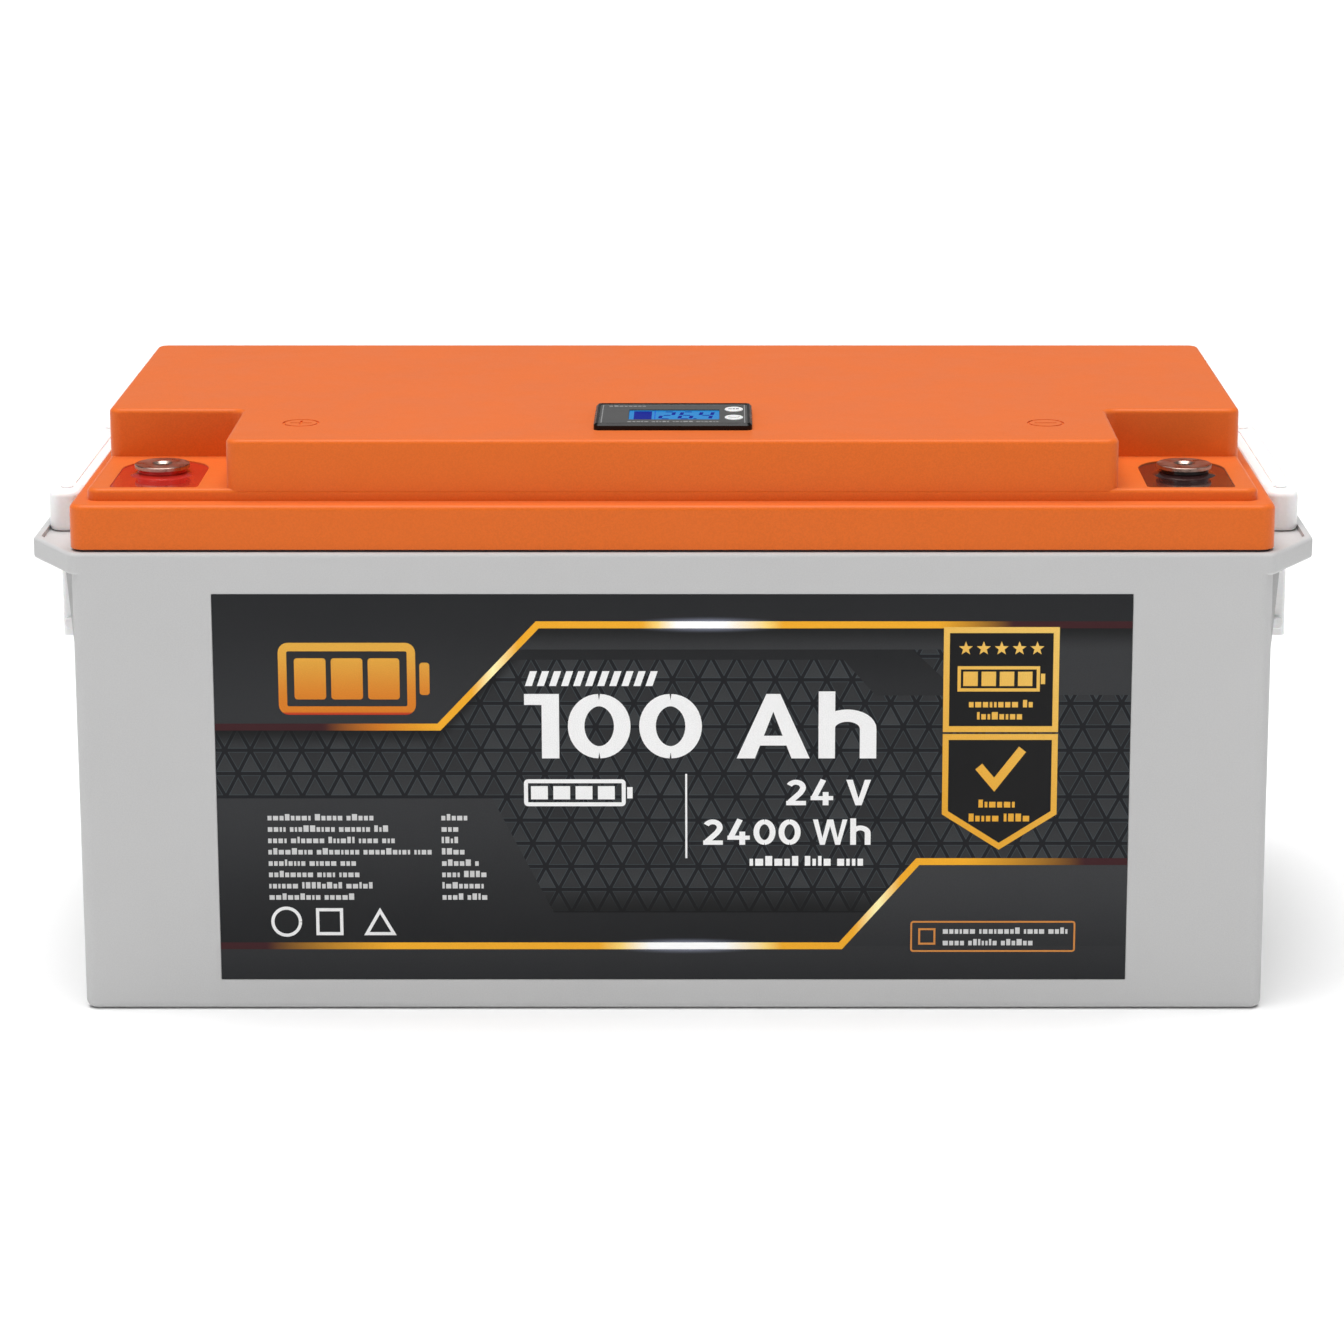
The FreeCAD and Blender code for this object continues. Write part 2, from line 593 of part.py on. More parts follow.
def meter_button(y):
    cap = button_prism(y, BUTTON_LOW, BEZEL_TOP)
    cap = cap.makeFillet(BUTTON_FILLET, level_edges(cap, BEZEL_TOP))
    return cap.fuse(button_prism(y, BUTTON_LOW, BUTTON_LOW + BUTTON_SKIRT_THICK, BUTTON_SKIRT))


def meter_lcd():
    half_x, half_y = WINDOW_X / 2 - 0.1, WINDOW_Y / 2 - 0.1
    lens = rounded(half_x, half_y, FACE_LOW - 0.2, FACE_HIGH - 0.4, 0.4, *WINDOW_CENTRE)
    x, y = WINDOW_CENTRE
    panel = block(x - 19.4, x + 18.6, y - 13, y + 13, METER_BOARD_Z + BOARD_THICK, FACE_LOW - 0.2)
    return lens.fuse(panel)


def meter_board():
    top = METER_BOARD_Z + BOARD_THICK
    return rounded(NECK_INNER_X - 0.3, NECK_INNER_Y - 0.3, METER_BOARD_Z, top, 0.8, 0, METER_Y)


def meter_switches():
    switches = []
    plunger_top = BUTTON_LOW - BUTTON_TRAVEL - SWITCH_GAP
    for y in BUTTON_Y:
        z0 = METER_BOARD_Z + BOARD_THICK
        body = block(BUTTON_X - 2.2, BUTTON_X + 2.2, y - 3, y + 3, z0, plunger_top - 0.7)
        switches.append(body.fuse(rod(1.6, plunger_top - z0, BUTTON_X, y, z0)))
    return group(switches)


def meter_back_cover():
    z0 = HOUSING_BOTTOM + 1.0
    cover = rounded(NECK_INNER_X - 0.1, NECK_INNER_Y - 0.1, z0, z0 + 1.5, 0.9, 0, METER_Y)
    return cover.cut(rod(2.4, 4, 0, METER_Y, z0 - 1))


# ---- cells --------------------------------------------------------------------------------------
CELL_PITCH = CELL_X + SPACER
STACK_HALF = (CELL_COUNT * CELL_X + (CELL_COUNT - 1) * SPACER) / 2
CELL_BOTTOM = CASE_FLOOR + PAD
CELL_TOP = CELL_BOTTOM + CELL_Z
POST_TOP = CELL_TOP + POST_RISE
BUSBAR_TOP = POST_TOP + BUSBAR_THICK
PAD_LOW = CASE_FLOOR + SIDE_PAD_LIFT
PAD_HIGH = CELL_TOP - SIDE_PAD_DROP


def cell_x(index):
    return -STACK_HALF + CELL_X / 2 + index * CELL_PITCH


def cell(index):
    """A prismatic cell: aluminium can, two terminal pads with posts, and a vent."""
    x = cell_x(index)
    can = rounded(CELL_X / 2, CELL_Y / 2, CELL_BOTTOM, CELL_TOP, CELL_CORNER, x, 0)
    posts = []
    for side in (-1, 1):
        y = side * CELL_POST_Y
        posts.append(rounded(POST_PAD_HALF, POST_PAD_HALF, CELL_TOP - 1, POST_TOP, 1.5, x, y))
        posts.append(rod(STUD_RADIUS, BUSBAR_THICK + STUD_RISE + 1, x, y, POST_TOP - 1))
    can = can.fuse(posts)
    return can.cut(stadium(5, 11, CELL_TOP - 0.4, CELL_TOP + 1, x, 0))


def cell_spacers():
    sheets = []
    for i in range(CELL_COUNT - 1):
        x = cell_x(i) + CELL_X / 2
        sheets.append(block(x, x + SPACER, -CELL_Y / 2 + 2, CELL_Y / 2 - 2, CELL_BOTTOM, CELL_TOP - 2))
    return group(sheets)


def end_plate(side):
    x0 = side * STACK_HALF
    x1 = side * (STACK_HALF + PLATE)
    plate = block(min(x0, x1), max(x0, x1), -CELL_Y / 2, CELL_Y / 2, CELL_BOTTOM, CELL_TOP)
    outside = upright_edges(plate, lambda x, y: abs(x) > STACK_HALF + 1)
    return plate.makeFillet(PLATE_CORNER, outside)


def compression_bands():
    bands = []
    half_x, half_y = STACK_HALF + PLATE, CELL_Y / 2
    for z in BAND_Z:
        z0, z1 = z - BAND_WIDTH / 2, z + BAND_WIDTH / 2
        outer = rounded(half_x + BAND_THICK, half_y + BAND_THICK, z0, z1, PLATE_CORNER + BAND_THICK)
        bands.append(outer.cut(rounded(half_x, half_y, z0 - 1, z1 + 1, PLATE_CORNER)))
    return group(bands)


def busbars():
    """Series links: each joins one cell's post to the next cell's, on alternate sides."""
    links = []
    for i in range(CELL_COUNT - 1):
        side = 1 if i % 2 else -1
        y = side * CELL_POST_Y
        middle = (cell_x(i) + cell_x(i + 1)) / 2
        link = rounded(CELL_PITCH / 2 + 10, POST_PAD_HALF, POST_TOP, BUSBAR_TOP, 4.0, middle, y)
        for x in (cell_x(i), cell_x(i + 1)):
            link = link.cut(rod(STUD_RADIUS, BUSBAR_THICK + 2, x, y, POST_TOP - 1))
        links.append(link)
    return group(links)


def end_post(first):
    """Where the pack's own positive or negative end is: x, y."""
    index = 0 if first else CELL_COUNT - 1
    return cell_x(index), CELL_POST_Y


def busbar_nuts():
    nuts = []
    for i in range(CELL_COUNT):
        for side in (-1, 1):
            y = side * CELL_POST_Y
            nut = hexagon(NUT_FLATS, BUSBAR_TOP, BUSBAR_TOP + NUT_HEIGHT, cell_x(i), y)
            nuts.append(nut.cut(rod(STUD_RADIUS, NUT_HEIGHT + 1, cell_x(i), y, BUSBAR_TOP - 0.5)))
    return group(nuts)


def base_pad():
    return block(-STACK_HALF - PLATE, STACK_HALF + PLATE, -CELL_Y / 2, CELL_Y / 2, CASE_FLOOR, CELL_BOTTOM)


def side_pads():
    pads = []
    inner = CELL_Y / 2 + BAND_THICK
    outer = CASE_HALF_Y - CASE_WALL
    for side in (-1, 1):
        low, high = sorted((side * inner, side * outer))
        pads.append(block(-STACK_HALF, STACK_HALF, low, high, PAD_LOW, PAD_HIGH))
    return group(pads)


def end_pads():
    pads = []
    inner = STACK_HALF + PLATE + BAND_THICK
    outer = CASE_HALF_X - CASE_WALL
    for side in (-1, 1):
        low, high = sorted((side * inner, side * outer))
        pads.append(block(low, high, -CELL_Y / 2, CELL_Y / 2, PAD_LOW, PAD_HIGH))
    return group(pads)


# ---- electronics --------------------------------------------------------------------------------
TRAY_TOP = TRAY_Z + TRAY_THICK
SINK_TOP = TRAY_TOP + SINK_THICK
BOARD_TOP = SINK_TOP + BOARD_THICK


def cell_tray():
    """The sheet over the busbars that carries the management board, on six legs between the posts."""
    sheet = rounded(STACK_HALF, CELL_Y / 2 - 1, TRAY_Z, TRAY_TOP, 4.0)
    legs = []
    for x in (cell_x(1), cell_x(4) - 12, cell_x(6)):
        for y in (-TRAY_LEG_Y, TRAY_LEG_Y):
            legs.append(rod(TRAY_LEG_RADIUS, TRAY_Z - CELL_TOP + 0.5, x, y, CELL_TOP))
    x, y = end_post(True)
    sheet = sheet.cut(stadium(11, 34, TRAY_Z - 1, TRAY_TOP + 1, x, y - 20))
    x, y = end_post(False)
    sheet = sheet.cut(stadium(34, 11, TRAY_Z - 1, TRAY_TOP + 1, x - 20, y))
    return sheet.fuse(legs)


def management_heat_sink():
    cx, cy = BOARD_CENTRE
    half_x, half_y = SINK_HALF
    base = rounded(half_x, half_y, TRAY_TOP, SINK_TOP, 3.0, cx, cy)
    for i in range(SINK_GROOVES):
        x = cx + (i - (SINK_GROOVES - 1) / 2) * SINK_GROOVE_PITCH
        groove = block(x - 2, x + 2, cy - half_y - 1, cy + half_y + 1, TRAY_TOP - 1, TRAY_TOP + 3)
        base = base.cut(groove)
    for x, y in board_screw_places():
        base = base.cut(rod(SCREW_RADIUS, SINK_THICK + 1, x, y, TRAY_TOP - 0.5))
    return base


def board_screw_places():
    cx, cy = BOARD_CENTRE
    dx, dy = SCREW_PLACE
    return [(cx + sx * dx, cy + sy * dy) for sx in (-1, 1) for sy in (-1, 1)]


def management_board():
    cx, cy = BOARD_CENTRE
    board = rounded(*BOARD_HALF, SINK_TOP, BOARD_TOP, 2.0, cx, cy)
    for x, y in board_screw_places():
        board = board.cut(rod(SCREW_RADIUS, BOARD_THICK + 2, x, y, SINK_TOP - 1))
    return board


def management_screws():
    screws = []
    head_radius, head_height = SCREW_HEAD
    for x, y in board_screw_places():
        shank = rod(SCREW_RADIUS, BOARD_TOP - TRAY_TOP, x, y, TRAY_TOP)
        screws.append(shank.fuse(rod(head_radius, head_height, x, y, BOARD_TOP)))
    return group(screws)


def power_transistors():
    cx, cy = BOARD_CENTRE
    half_x, half_y = CHIP_HALF
    chips = []
    for row in (-1, 1):
        for i in range(8):
            x, y = cx + (i - 4) * CHIP_PITCH, cy + row * CHIP_PITCH
            top = BOARD_TOP + CHIP_HEIGHT
            chips.append(block(x - half_x, x + half_x, y - half_y, y + half_y, BOARD_TOP, top))
    return group(chips)


def management_connectors():
    cx, cy = BOARD_CENTRE
    top = BOARD_TOP + SOCKET_HEIGHT
    balance = block(cx - 20, cx + 4, cy + 22, cy + 29, BOARD_TOP, top)
    meter = block(cx + 14, cx + 22, cy + 22, cy + 29, BOARD_TOP, top)
    return group([balance, meter])


def ring_lug(x, y, z, hole, direction):
    """A flat lug with a round eye; its barrel points along direction, in degrees in plan."""
    eye = rod(LUG_RADIUS, LUG_THICK, x, y, z)
    half = LUG_TAIL_WIDTH / 2
    tail = block(x, x + LUG_TAIL, y - half, y + half, z, z + LUG_THICK)
    lug = eye.fuse(turned(tail, direction, x, y, z))
    return lug.cut(rod(hole, LUG_THICK + 2, x, y, z - 1))


def lead(points, lugs):
    """A cable with its lugs, which are crimped on and move with it."""
    return tube_along(points, LEAD_RADIUS, LEAD_BEND).fuse(lugs)


def positive_lead():
    """From the pack's first post up to the positive terminal."""
    x0, y0 = end_post(True)
    low, high = BUSBAR_TOP + NUT_HEIGHT, INSERT_BOTTOM - LUG_THICK
    x1, y1 = TERMINALS["positive"], TERMINAL_Y
    lugs = [ring_lug(x0, y0, low, STUD_RADIUS, -90), ring_lug(x1, y1, high, THREAD_RADIUS, 90)]
    points = [(x0, y0 - 12, low + 1.5), (x0, y0 - 50, low + 12)]
    points += [(x1, y0 - 70, high - 10), (x1, y1 + 12, high + 1.5)]
    return lead(points, lugs)


def pack_negative_lead():
    """From the pack's last post to the management board."""
    x0, y0 = end_post(False)
    low = BUSBAR_TOP + NUT_HEIGHT
    cx, cy = BOARD_CENTRE
    lugs = [ring_lug(x0, y0, low, STUD_RADIUS, 180)]
    points = [(x0 - 12, y0, low + 1.5), (x0 - 40, y0, low + 14)]
    points += [(cx + 92, cy + 14, BOARD_TOP + 5), (cx + 66, cy + 14, BOARD_TOP + 5)]
    return lead(points, lugs)


def negative_lead():
    """From the management board up to the negative terminal."""
    cx, cy = BOARD_CENTRE
    x1, y1 = TERMINALS["negative"], TERMINAL_Y
    high = INSERT_BOTTOM - LUG_THICK
    lugs = [ring_lug(x1, y1, high, THREAD_RADIUS, 180)]
    points = [(cx + 66, cy - 14, BOARD_TOP + 5), (cx + 105, cy - 14, BOARD_TOP + 8)]
    points += [(x1 - 44, y1, high - 4), (x1 - 14, y1, high + 1.5)]
    return lead(points, lugs)


def meter_cable():
    cx, cy = BOARD_CENTRE
    top = HOUSING_BOTTOM + 2.0
    socket_x, socket_y = cx + 18, cy + 25.5
    points = [(0, METER_Y, top), (0, METER_Y, top - 24)]
    points += [(socket_x, socket_y, BOARD_TOP + 24), (socket_x, socket_y, BOARD_TOP + 6)]
    return tube_along(points, METER_CABLE_RADIUS, METER_CABLE_BEND)


def balance_harness():
    """The sense wires, bundled along the middle of the tray."""
    cx, cy = BOARD_CENTRE
    z = BOARD_TOP + 3
    points = [(cx - 8, cy + 29, z), (cx - 8, cy + 44, z)]
    points += [(cell_x(1), cy + 50, TRAY_TOP + 3), (cell_x(0) + 12, 20, TRAY_TOP + 3)]
    return tube_along(points, HARNESS_RADIUS, HARNESS_BEND)


def temperature_sensor():
    bead = rod(3.0, 10.0, cell_x(5), -35.0, TRAY_TOP + 3.0, V(1, 0, 0))
    return bead.makeFillet(1.2, [bead.Edges[0], bead.Edges[2]])


# ---- the whole battery --------------------------------------------------------------------------
def build():
    PARTS["container"] = container()
    PARTS["lid"] = lid()
    PARTS["lid_seal"] = lid_seal()
    PARTS["front_label"] = front_label()
    for name, x in TERMINALS.items():
        PARTS["terminal_" + name] = terminal(x)
        PARTS["collar_" + name] = terminal_collar(x)
        PARTS["potting_" + name] = terminal_potting(x)
    PARTS["lug_bolts"] = lug_bolts()
    handle, pins = right_handle(), right_stop_pins()
    PARTS["handle_right"], PARTS["stop_pins_right"] = handle, pins
    PARTS["handle_left"], PARTS["stop_pins_left"] = mirrored_x(handle), mirrored_x(pins)
    PARTS["meter_bezel"] = meter_bezel()
    PARTS["meter_faceplate"] = meter_faceplate()
    PARTS["meter_lcd"] = meter_lcd()
    PARTS["meter_board"] = meter_board()
    PARTS["meter_switches"] = meter_switches()
    PARTS["meter_back_cover"] = meter_back_cover()
    PARTS["meter_cable"] = meter_cable()
    for name, y in zip(("rear", "front"), BUTTON_Y):
        PARTS["meter_button_" + name] = meter_button(y)
    for i in range(CELL_COUNT):
        PARTS["cell_" + str(i + 1)] = cell(i)
    PARTS["cell_spacers"] = cell_spacers()
    PARTS["end_plate_left"], PARTS["end_plate_right"] = end_plate(-1), end_plate(1)
    PARTS["compression_bands"] = compression_bands()
    PARTS["busbars"] = busbars()
    PARTS["busbar_nuts"] = busbar_nuts()
    PARTS["base_pad"] = base_pad()
    PARTS["side_pads"] = side_pads()
    PARTS["end_pads"] = end_pads()
    PARTS["cell_tray"] = cell_tray()
    PARTS["management_board"] = management_board()
    PARTS["management_heat_sink"] = management_heat_sink()
    PARTS["management_screws"] = management_screws()
    PARTS["management_connectors"] = management_connectors()
    PARTS["power_transistors"] = power_transistors()
    PARTS["positive_lead"] = positive_lead()
    PARTS["negative_lead"] = negative_lead()
    PARTS["pack_negative_lead"] = pack_negative_lead()
    PARTS["balance_harness"] = balance_harness()
    PARTS["temperature_sensor"] = temperature_sensor()


build()
os.makedirs("parts", exist_ok=True)
for node, shape in PARTS.items():
    if not shape.isValid() or not shape.Solids:
        print("check", node, shape.isValid(), len(shape.Solids))
    shape.exportStep(os.path.join("parts", node + ".step"))
print(len(PARTS), "nodes")
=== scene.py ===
import bpy
import math
import random
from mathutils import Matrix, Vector


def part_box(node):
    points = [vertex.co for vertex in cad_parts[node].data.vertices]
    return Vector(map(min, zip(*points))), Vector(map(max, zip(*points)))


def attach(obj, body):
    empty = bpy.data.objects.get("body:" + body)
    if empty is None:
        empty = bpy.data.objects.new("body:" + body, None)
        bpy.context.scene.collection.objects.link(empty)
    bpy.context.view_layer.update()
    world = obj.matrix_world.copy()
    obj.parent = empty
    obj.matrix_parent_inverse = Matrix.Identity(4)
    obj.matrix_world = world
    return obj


# Looks of a deep cycle battery: moulded case and lid, printed front label, terminals, handles, meter.
# Lengths are in metres, except where a name ends in _mm or a helper says millimetres.

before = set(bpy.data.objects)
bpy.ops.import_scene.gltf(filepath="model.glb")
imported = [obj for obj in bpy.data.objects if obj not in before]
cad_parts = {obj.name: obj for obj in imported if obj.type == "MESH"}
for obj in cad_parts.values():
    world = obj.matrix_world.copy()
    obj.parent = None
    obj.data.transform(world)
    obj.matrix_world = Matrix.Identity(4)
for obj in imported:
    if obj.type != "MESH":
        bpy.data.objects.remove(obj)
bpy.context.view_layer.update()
MM = 0.001
PER_METRE = 1000.0           # millimetres
FULL = 255                   # a colour channel's highest level
CASE = "case"
BUTTONS = {"meter_button_rear": "rear_button", "meter_button_front": "front_button"}


# ---- node graphs --------------------------------------------------------------------------------
class Graph:
    """A material's node graph around one Principled shader, with short calls for common nodes."""

    def __init__(self, name):
        self.material = bpy.data.materials.new(name)
        self.material.use_nodes = True
        self.tree = self.material.node_tree
        self.tree.nodes.clear()
        self.shader = self.node("ShaderNodeBsdfPrincipled")
        output = self.node("ShaderNodeOutputMaterial")
        self.tree.links.new(self.shader.outputs[0], output.inputs[0])
        self.place = self.node("ShaderNodeTexCoord").outputs["Object"]
        parts = self.node("ShaderNodeSeparateXYZ", Vector=self.place)
        self.x, self.y, self.z = parts.outputs

    def node(self, kind, settings=None, **inputs):
        made = self.tree.nodes.new(kind)
        for key, value in (settings or {}).items():
            setattr(made, key, value)
        for key, value in inputs.items():
            self.feed(made.inputs[key.replace("_", " ")], value)
        return made

    def feed(self, socket, value):
        if isinstance(value, bpy.types.NodeSocket):
            self.tree.links.new(value, socket)
        else:
            socket.default_value = value

    def surface(self, **values):
        for key, value in values.items():
            self.feed(self.shader.inputs[key.replace("_", " ")], value)

    def artwork(self):
        """Where each point is on the label's artwork: across, and up."""
        up = self.math("MULTIPLY_ADD", self.z, PER_METRE / STRETCH, BOTTOM - LABEL_LOW.z / STRETCH)
        return self.math("MULTIPLY", self.x, PER_METRE), up

    def math(self, operation, a, b=0.0, c=0.0):
        made = self.node("ShaderNodeMath", {"operation": operation})
        for socket, value in zip(made.inputs, (a, b, c)):
            self.feed(socket, value)
        return made.outputs[0]

    def span(self, value, low, high, to_low=0.0, to_high=1.0, smooth=True):
        """Maps value from low..high to to_low..to_high and holds it there outside."""
        kind = "SMOOTHSTEP" if smooth else "LINEAR"
        made = self.node("ShaderNodeMapRange", {"interpolation_type": kind})
        for socket, number in zip(made.inputs, (value, low, high, to_low, to_high)):
            self.feed(socket, number)
        return made.outputs[0]

    def mix(self, factor, a, b, blend="MIX"):
        made = self.node("ShaderNodeMix", {"data_type": "RGBA", "blend_type": blend})
        for index, value in ((0, factor), (6, a), (7, b)):
            self.feed(made.inputs[index], value)
        return made.outputs[2]

    def noise(self, size, detail=2.0, rough=0.5, stretch=(1, 1, 1)):
        """Noise with features about size metres across."""
        place = self.node("ShaderNodeMapping", Vector=self.place, Scale=stretch).outputs[0]
        settings = {"Vector": place, "Scale": 1.0 / size, "Detail": detail, "Roughness": rough}
        return self.node("ShaderNodeTexNoise", None, **settings).outputs[0]

    def ramp(self, factor, stops):
        made = self.node("ShaderNodeValToRGB", Fac=factor)
        points = made.color_ramp.elements
        for index, (position, colour) in enumerate(stops):
            point = points[index] if index < 2 else points.new(position)
            point.position = position
            point.color = colour
        return made.outputs[0]

    def bump(self, height, depth, strength=1.0):
        made = self.node("ShaderNodeBump", Height=height, Strength=strength, Distance=depth)
        self.surface(Normal=made.outputs[0])


def rgb(red, green, blue):
    """A colour given as it is seen, 0 to 255, as linear light."""
    def linear(level):
        share = level / FULL
        return share / 12.92 if share <= 0.04045 else ((share + 0.055) / 1.055) ** 2.4
    return (linear(red), linear(green), linear(blue), 1.0)


def scaled(colour, factor):
    return (colour[0] * factor, colour[1] * factor, colour[2] * factor, 1.0)


# ---- materials ----------------------------------------------------------------------------------
NOISE_LOW, NOISE_HIGH = 0.3, 0.7   # most noise lies between these
DRIFT_SIZE, DRIFT_SHARE, DRIFT_GAIN = 0.06, 0.3, 1.04
WEAR_SIZE = 0.02
SUBSURFACE_DEPTH = 0.004
TURNING_PITCH = 0.35 * MM
# GOLD_PAINTED_GLOW: how strongly the gold lines glow in their own colour, which is painted light
FILM_GLOSS, GOLD_PAINTED_GLOW = 0.15, 0.12


def moulded(name, colour, roughness, speckle, grain_mm, depth_mm, gloss=0.3, subsurface=0.0, haze=0.0):
    """Injection-moulded plastic: fine grain in colour and height, and a faint slow drift in tone."""
    g = Graph(name)
    g.shader.inputs["Specular IOR Level"].default_value = gloss
    grain = g.noise(grain_mm * MM, 2.0, 0.6)
    drift = g.noise(DRIFT_SIZE, 2.0)
    light, dark = scaled(colour, 1 + speckle), scaled(colour, 1 - speckle)
    tone = g.mix(g.span(grain, NOISE_LOW, NOISE_HIGH), dark, light)
    drift = g.span(drift, NOISE_LOW, NOISE_HIGH, 0.0, DRIFT_SHARE)
    tone = g.mix(drift, tone, scaled(colour, DRIFT_GAIN))
    wear = g.noise(WEAR_SIZE, 3.0)
    rough = g.span(wear, NOISE_LOW, NOISE_HIGH, roughness - 0.04, roughness + 0.05)
    g.surface(Base_Color=tone, Roughness=rough)
    g.shader.inputs["Subsurface Weight"].default_value = subsurface
    g.shader.inputs["Subsurface Scale"].default_value = SUBSURFACE_DEPTH
    g.shader.inputs["Sheen Weight"].default_value = haze
    g.bump(grain, depth_mm * MM)
    return g.material


def resin(name, colour, coat):
    """Cast epoxy: deep colour under a hard gloss, with a faint unevenness."""
    g = Graph(name)
    tone = g.mix(g.noise(0.003, 3.0), scaled(colour, 0.8), scaled(colour, 1.2))
    rough = g.span(g.noise(0.008, 2.0), NOISE_LOW, NOISE_HIGH, 0.1, 0.22)
    g.surface(Base_Color=tone, Roughness=rough)
    g.shader.inputs["Coat Weight"].default_value = coat
    g.shader.inputs["Coat Roughness"].default_value = 0.05
    g.bump(g.noise(0.006, 1.0), 0.1 * MM, 0.4)
    return g.material


def turned_metal(name, colour, centre_x, centre_y):
    """Lathe-turned metal: fine rings round an upright axis."""
    g = Graph(name)
    dx = g.math("SUBTRACT", g.x, centre_x)
    dy = g.math("SUBTRACT", g.y, centre_y)
    radius = g.math("SQRT", g.math("ADD", g.math("MULTIPLY", dx, dx), g.math("MULTIPLY", dy, dy)))
    rings = g.math("SINE", g.math("MULTIPLY", radius, 2 * math.pi / TURNING_PITCH))
    stain = g.noise(0.004, 4.0, 0.6)
    share = g.span(stain, NOISE_LOW, NOISE_HIGH)
    g.surface(Base_Color=g.mix(share, scaled(colour, 0.75), scaled(colour, 1.15)))
    g.surface(Roughness=g.span(stain, NOISE_LOW, NOISE_HIGH, 0.26, 0.42))
    g.shader.inputs["Metallic"].default_value = 1.0
    g.bump(rings, 0.01 * MM, 0.5)
    return g.material


def metal(name, colour, roughness, brush=(1, 1, 1)):
    g = Graph(name)
    streaks = g.noise(0.002, 4.0, 0.6, brush)
    g.surface(Base_Color=g.mix(g.span(streaks, NOISE_LOW, NOISE_HIGH), scaled(colour, 0.85), colour))
    g.surface(Roughness=g.span(streaks, NOISE_LOW, NOISE_HIGH, roughness - 0.08, roughness + 0.08))
    g.shader.inputs["Metallic"].default_value = 1.0
    g.bump(streaks, 0.02 * MM, 0.3)
    return g.material


def circuit_board(name):
    """Solder mask with darker tracks and a mottled surface."""
    g = Graph(name)
    tracks = g.node("ShaderNodeTexBrick", Vector=g.place, Scale=260.0)
    tone = g.mix(tracks.outputs[1], rgb(12, 84, 42), rgb(22, 112, 58))
    g.surface(Base_Color=g.mix(g.noise(0.004), tone, rgb(9, 70, 36)), Roughness=0.32)
    g.bump(tracks.outputs[1], 0.03 * MM, 0.5)
    return g.material


def wrapped_cell(name):
    """Blue shrink film on a cell can, dulled slightly and unevenly."""
    g = Graph(name)
    film = g.noise(0.012, 3.0)
    g.surface(Base_Color=g.mix(film, rgb(20, 72, 150), rgb(38, 100, 186)))
    g.surface(Roughness=g.span(film, NOISE_LOW, NOISE_HIGH, 0.25, 0.4))
    g.bump(g.noise(0.01, 2.0), 0.15 * MM, 0.5)
    return g.material


def foam(name):
    g = Graph(name)
    cells = g.node("ShaderNodeTexVoronoi", Vector=g.place, Scale=900.0).outputs[0]
    g.surface(Base_Color=g.mix(cells, rgb(24, 24, 26), rgb(52, 52, 55)), Roughness=0.92)
    g.bump(cells, 0.3 * MM, 0.8)
    return g.material


def gradient_print(name, low_mm, high_mm, low_colour, high_colour, halos=()):
    """Printed film whose tone changes with height, with a soft glow round each glint."""
    g = Graph(name)
    height = g.artwork()[1]
    tone = g.mix(g.span(height, low_mm, high_mm), low_colour, high_colour)
    for centre_x, centre_z, half_x, half_z in halos:
        tone = g.mix(halo(g, centre_x, centre_z, half_x, half_z), tone, GLOW)
    finish_print(g, tone)
    return g.material


def finish_print(g, tone):
    """Ink under a satin film, with the film's faint ripple."""
    ink = g.noise(0.0004, 1.0)
    specks = g.span(ink, NOISE_LOW, NOISE_HIGH, 0.0, 0.1)
    g.surface(Base_Color=g.mix(specks, tone, (0, 0, 0, 1)))
    g.surface(Roughness=g.span(g.noise(0.03, 2.0), NOISE_LOW, NOISE_HIGH, 0.42, 0.5))
    g.shader.inputs["Specular IOR Level"].default_value = FILM_GLOSS
    g.bump(g.noise(0.012, 2.0), 0.02 * MM, 0.25)


GLOW = rgb(205, 212, 240)


def halo(g, centre_x, centre_z, half_x, half_z):
    """How bright a glint's glow is at each point, from 1 at its centre to 0 at its edge."""
    x, z = g.artwork()
    dx = g.math("DIVIDE", g.math("SUBTRACT", x, centre_x), half_x)
    dz = g.math("DIVIDE", g.math("SUBTRACT", z, centre_z), half_z)
    away = g.math("SQRT", g.math("ADD", g.math("MULTIPLY", dx, dx), g.math("MULTIPLY", dz, dz)))
    return g.math("POWER", g.span(away, 0.0, 1.0, 1.0, 0.0, False), 2.0)


def striped_print(name, stops_mm):
    """Printed line whose colour changes along X through (x in millimetres, colour) stops, and which
    glows faintly in its own colour as painted light.
    """
    g = Graph(name)
    first, last = stops_mm[0][0], stops_mm[-1][0]
    along = g.span(g.math("MULTIPLY", g.x, PER_METRE), first, last, 0.0, 1.0, False)
    stops = [((x - first) / (last - first), colour) for x, colour in stops_mm]
    tone = g.ramp(along, stops)
    finish_print(g, tone)
    # Painted light: the gold ink glows in its own colour, though nothing lights it from within
    g.feed(g.shader.inputs["Emission Color"], tone)
    g.shader.inputs["Emission Strength"].default_value = GOLD_PAINTED_GLOW
    return g.material


def plain_print(name, colour, tint=None):
    """A printed ink with a slight diagonal change of tone."""
    g = Graph(name)
    slope = g.math("ADD", g.math("MULTIPLY", g.x, 9.0), g.math("MULTIPLY", g.z, 14.0))
    wave = g.math("ADD", g.math("MULTIPLY", g.math("SINE", slope), 0.5), 0.5)
    finish_print(g, g.mix(wave, tint or scaled(colour, 0.94), colour))
    return g.material


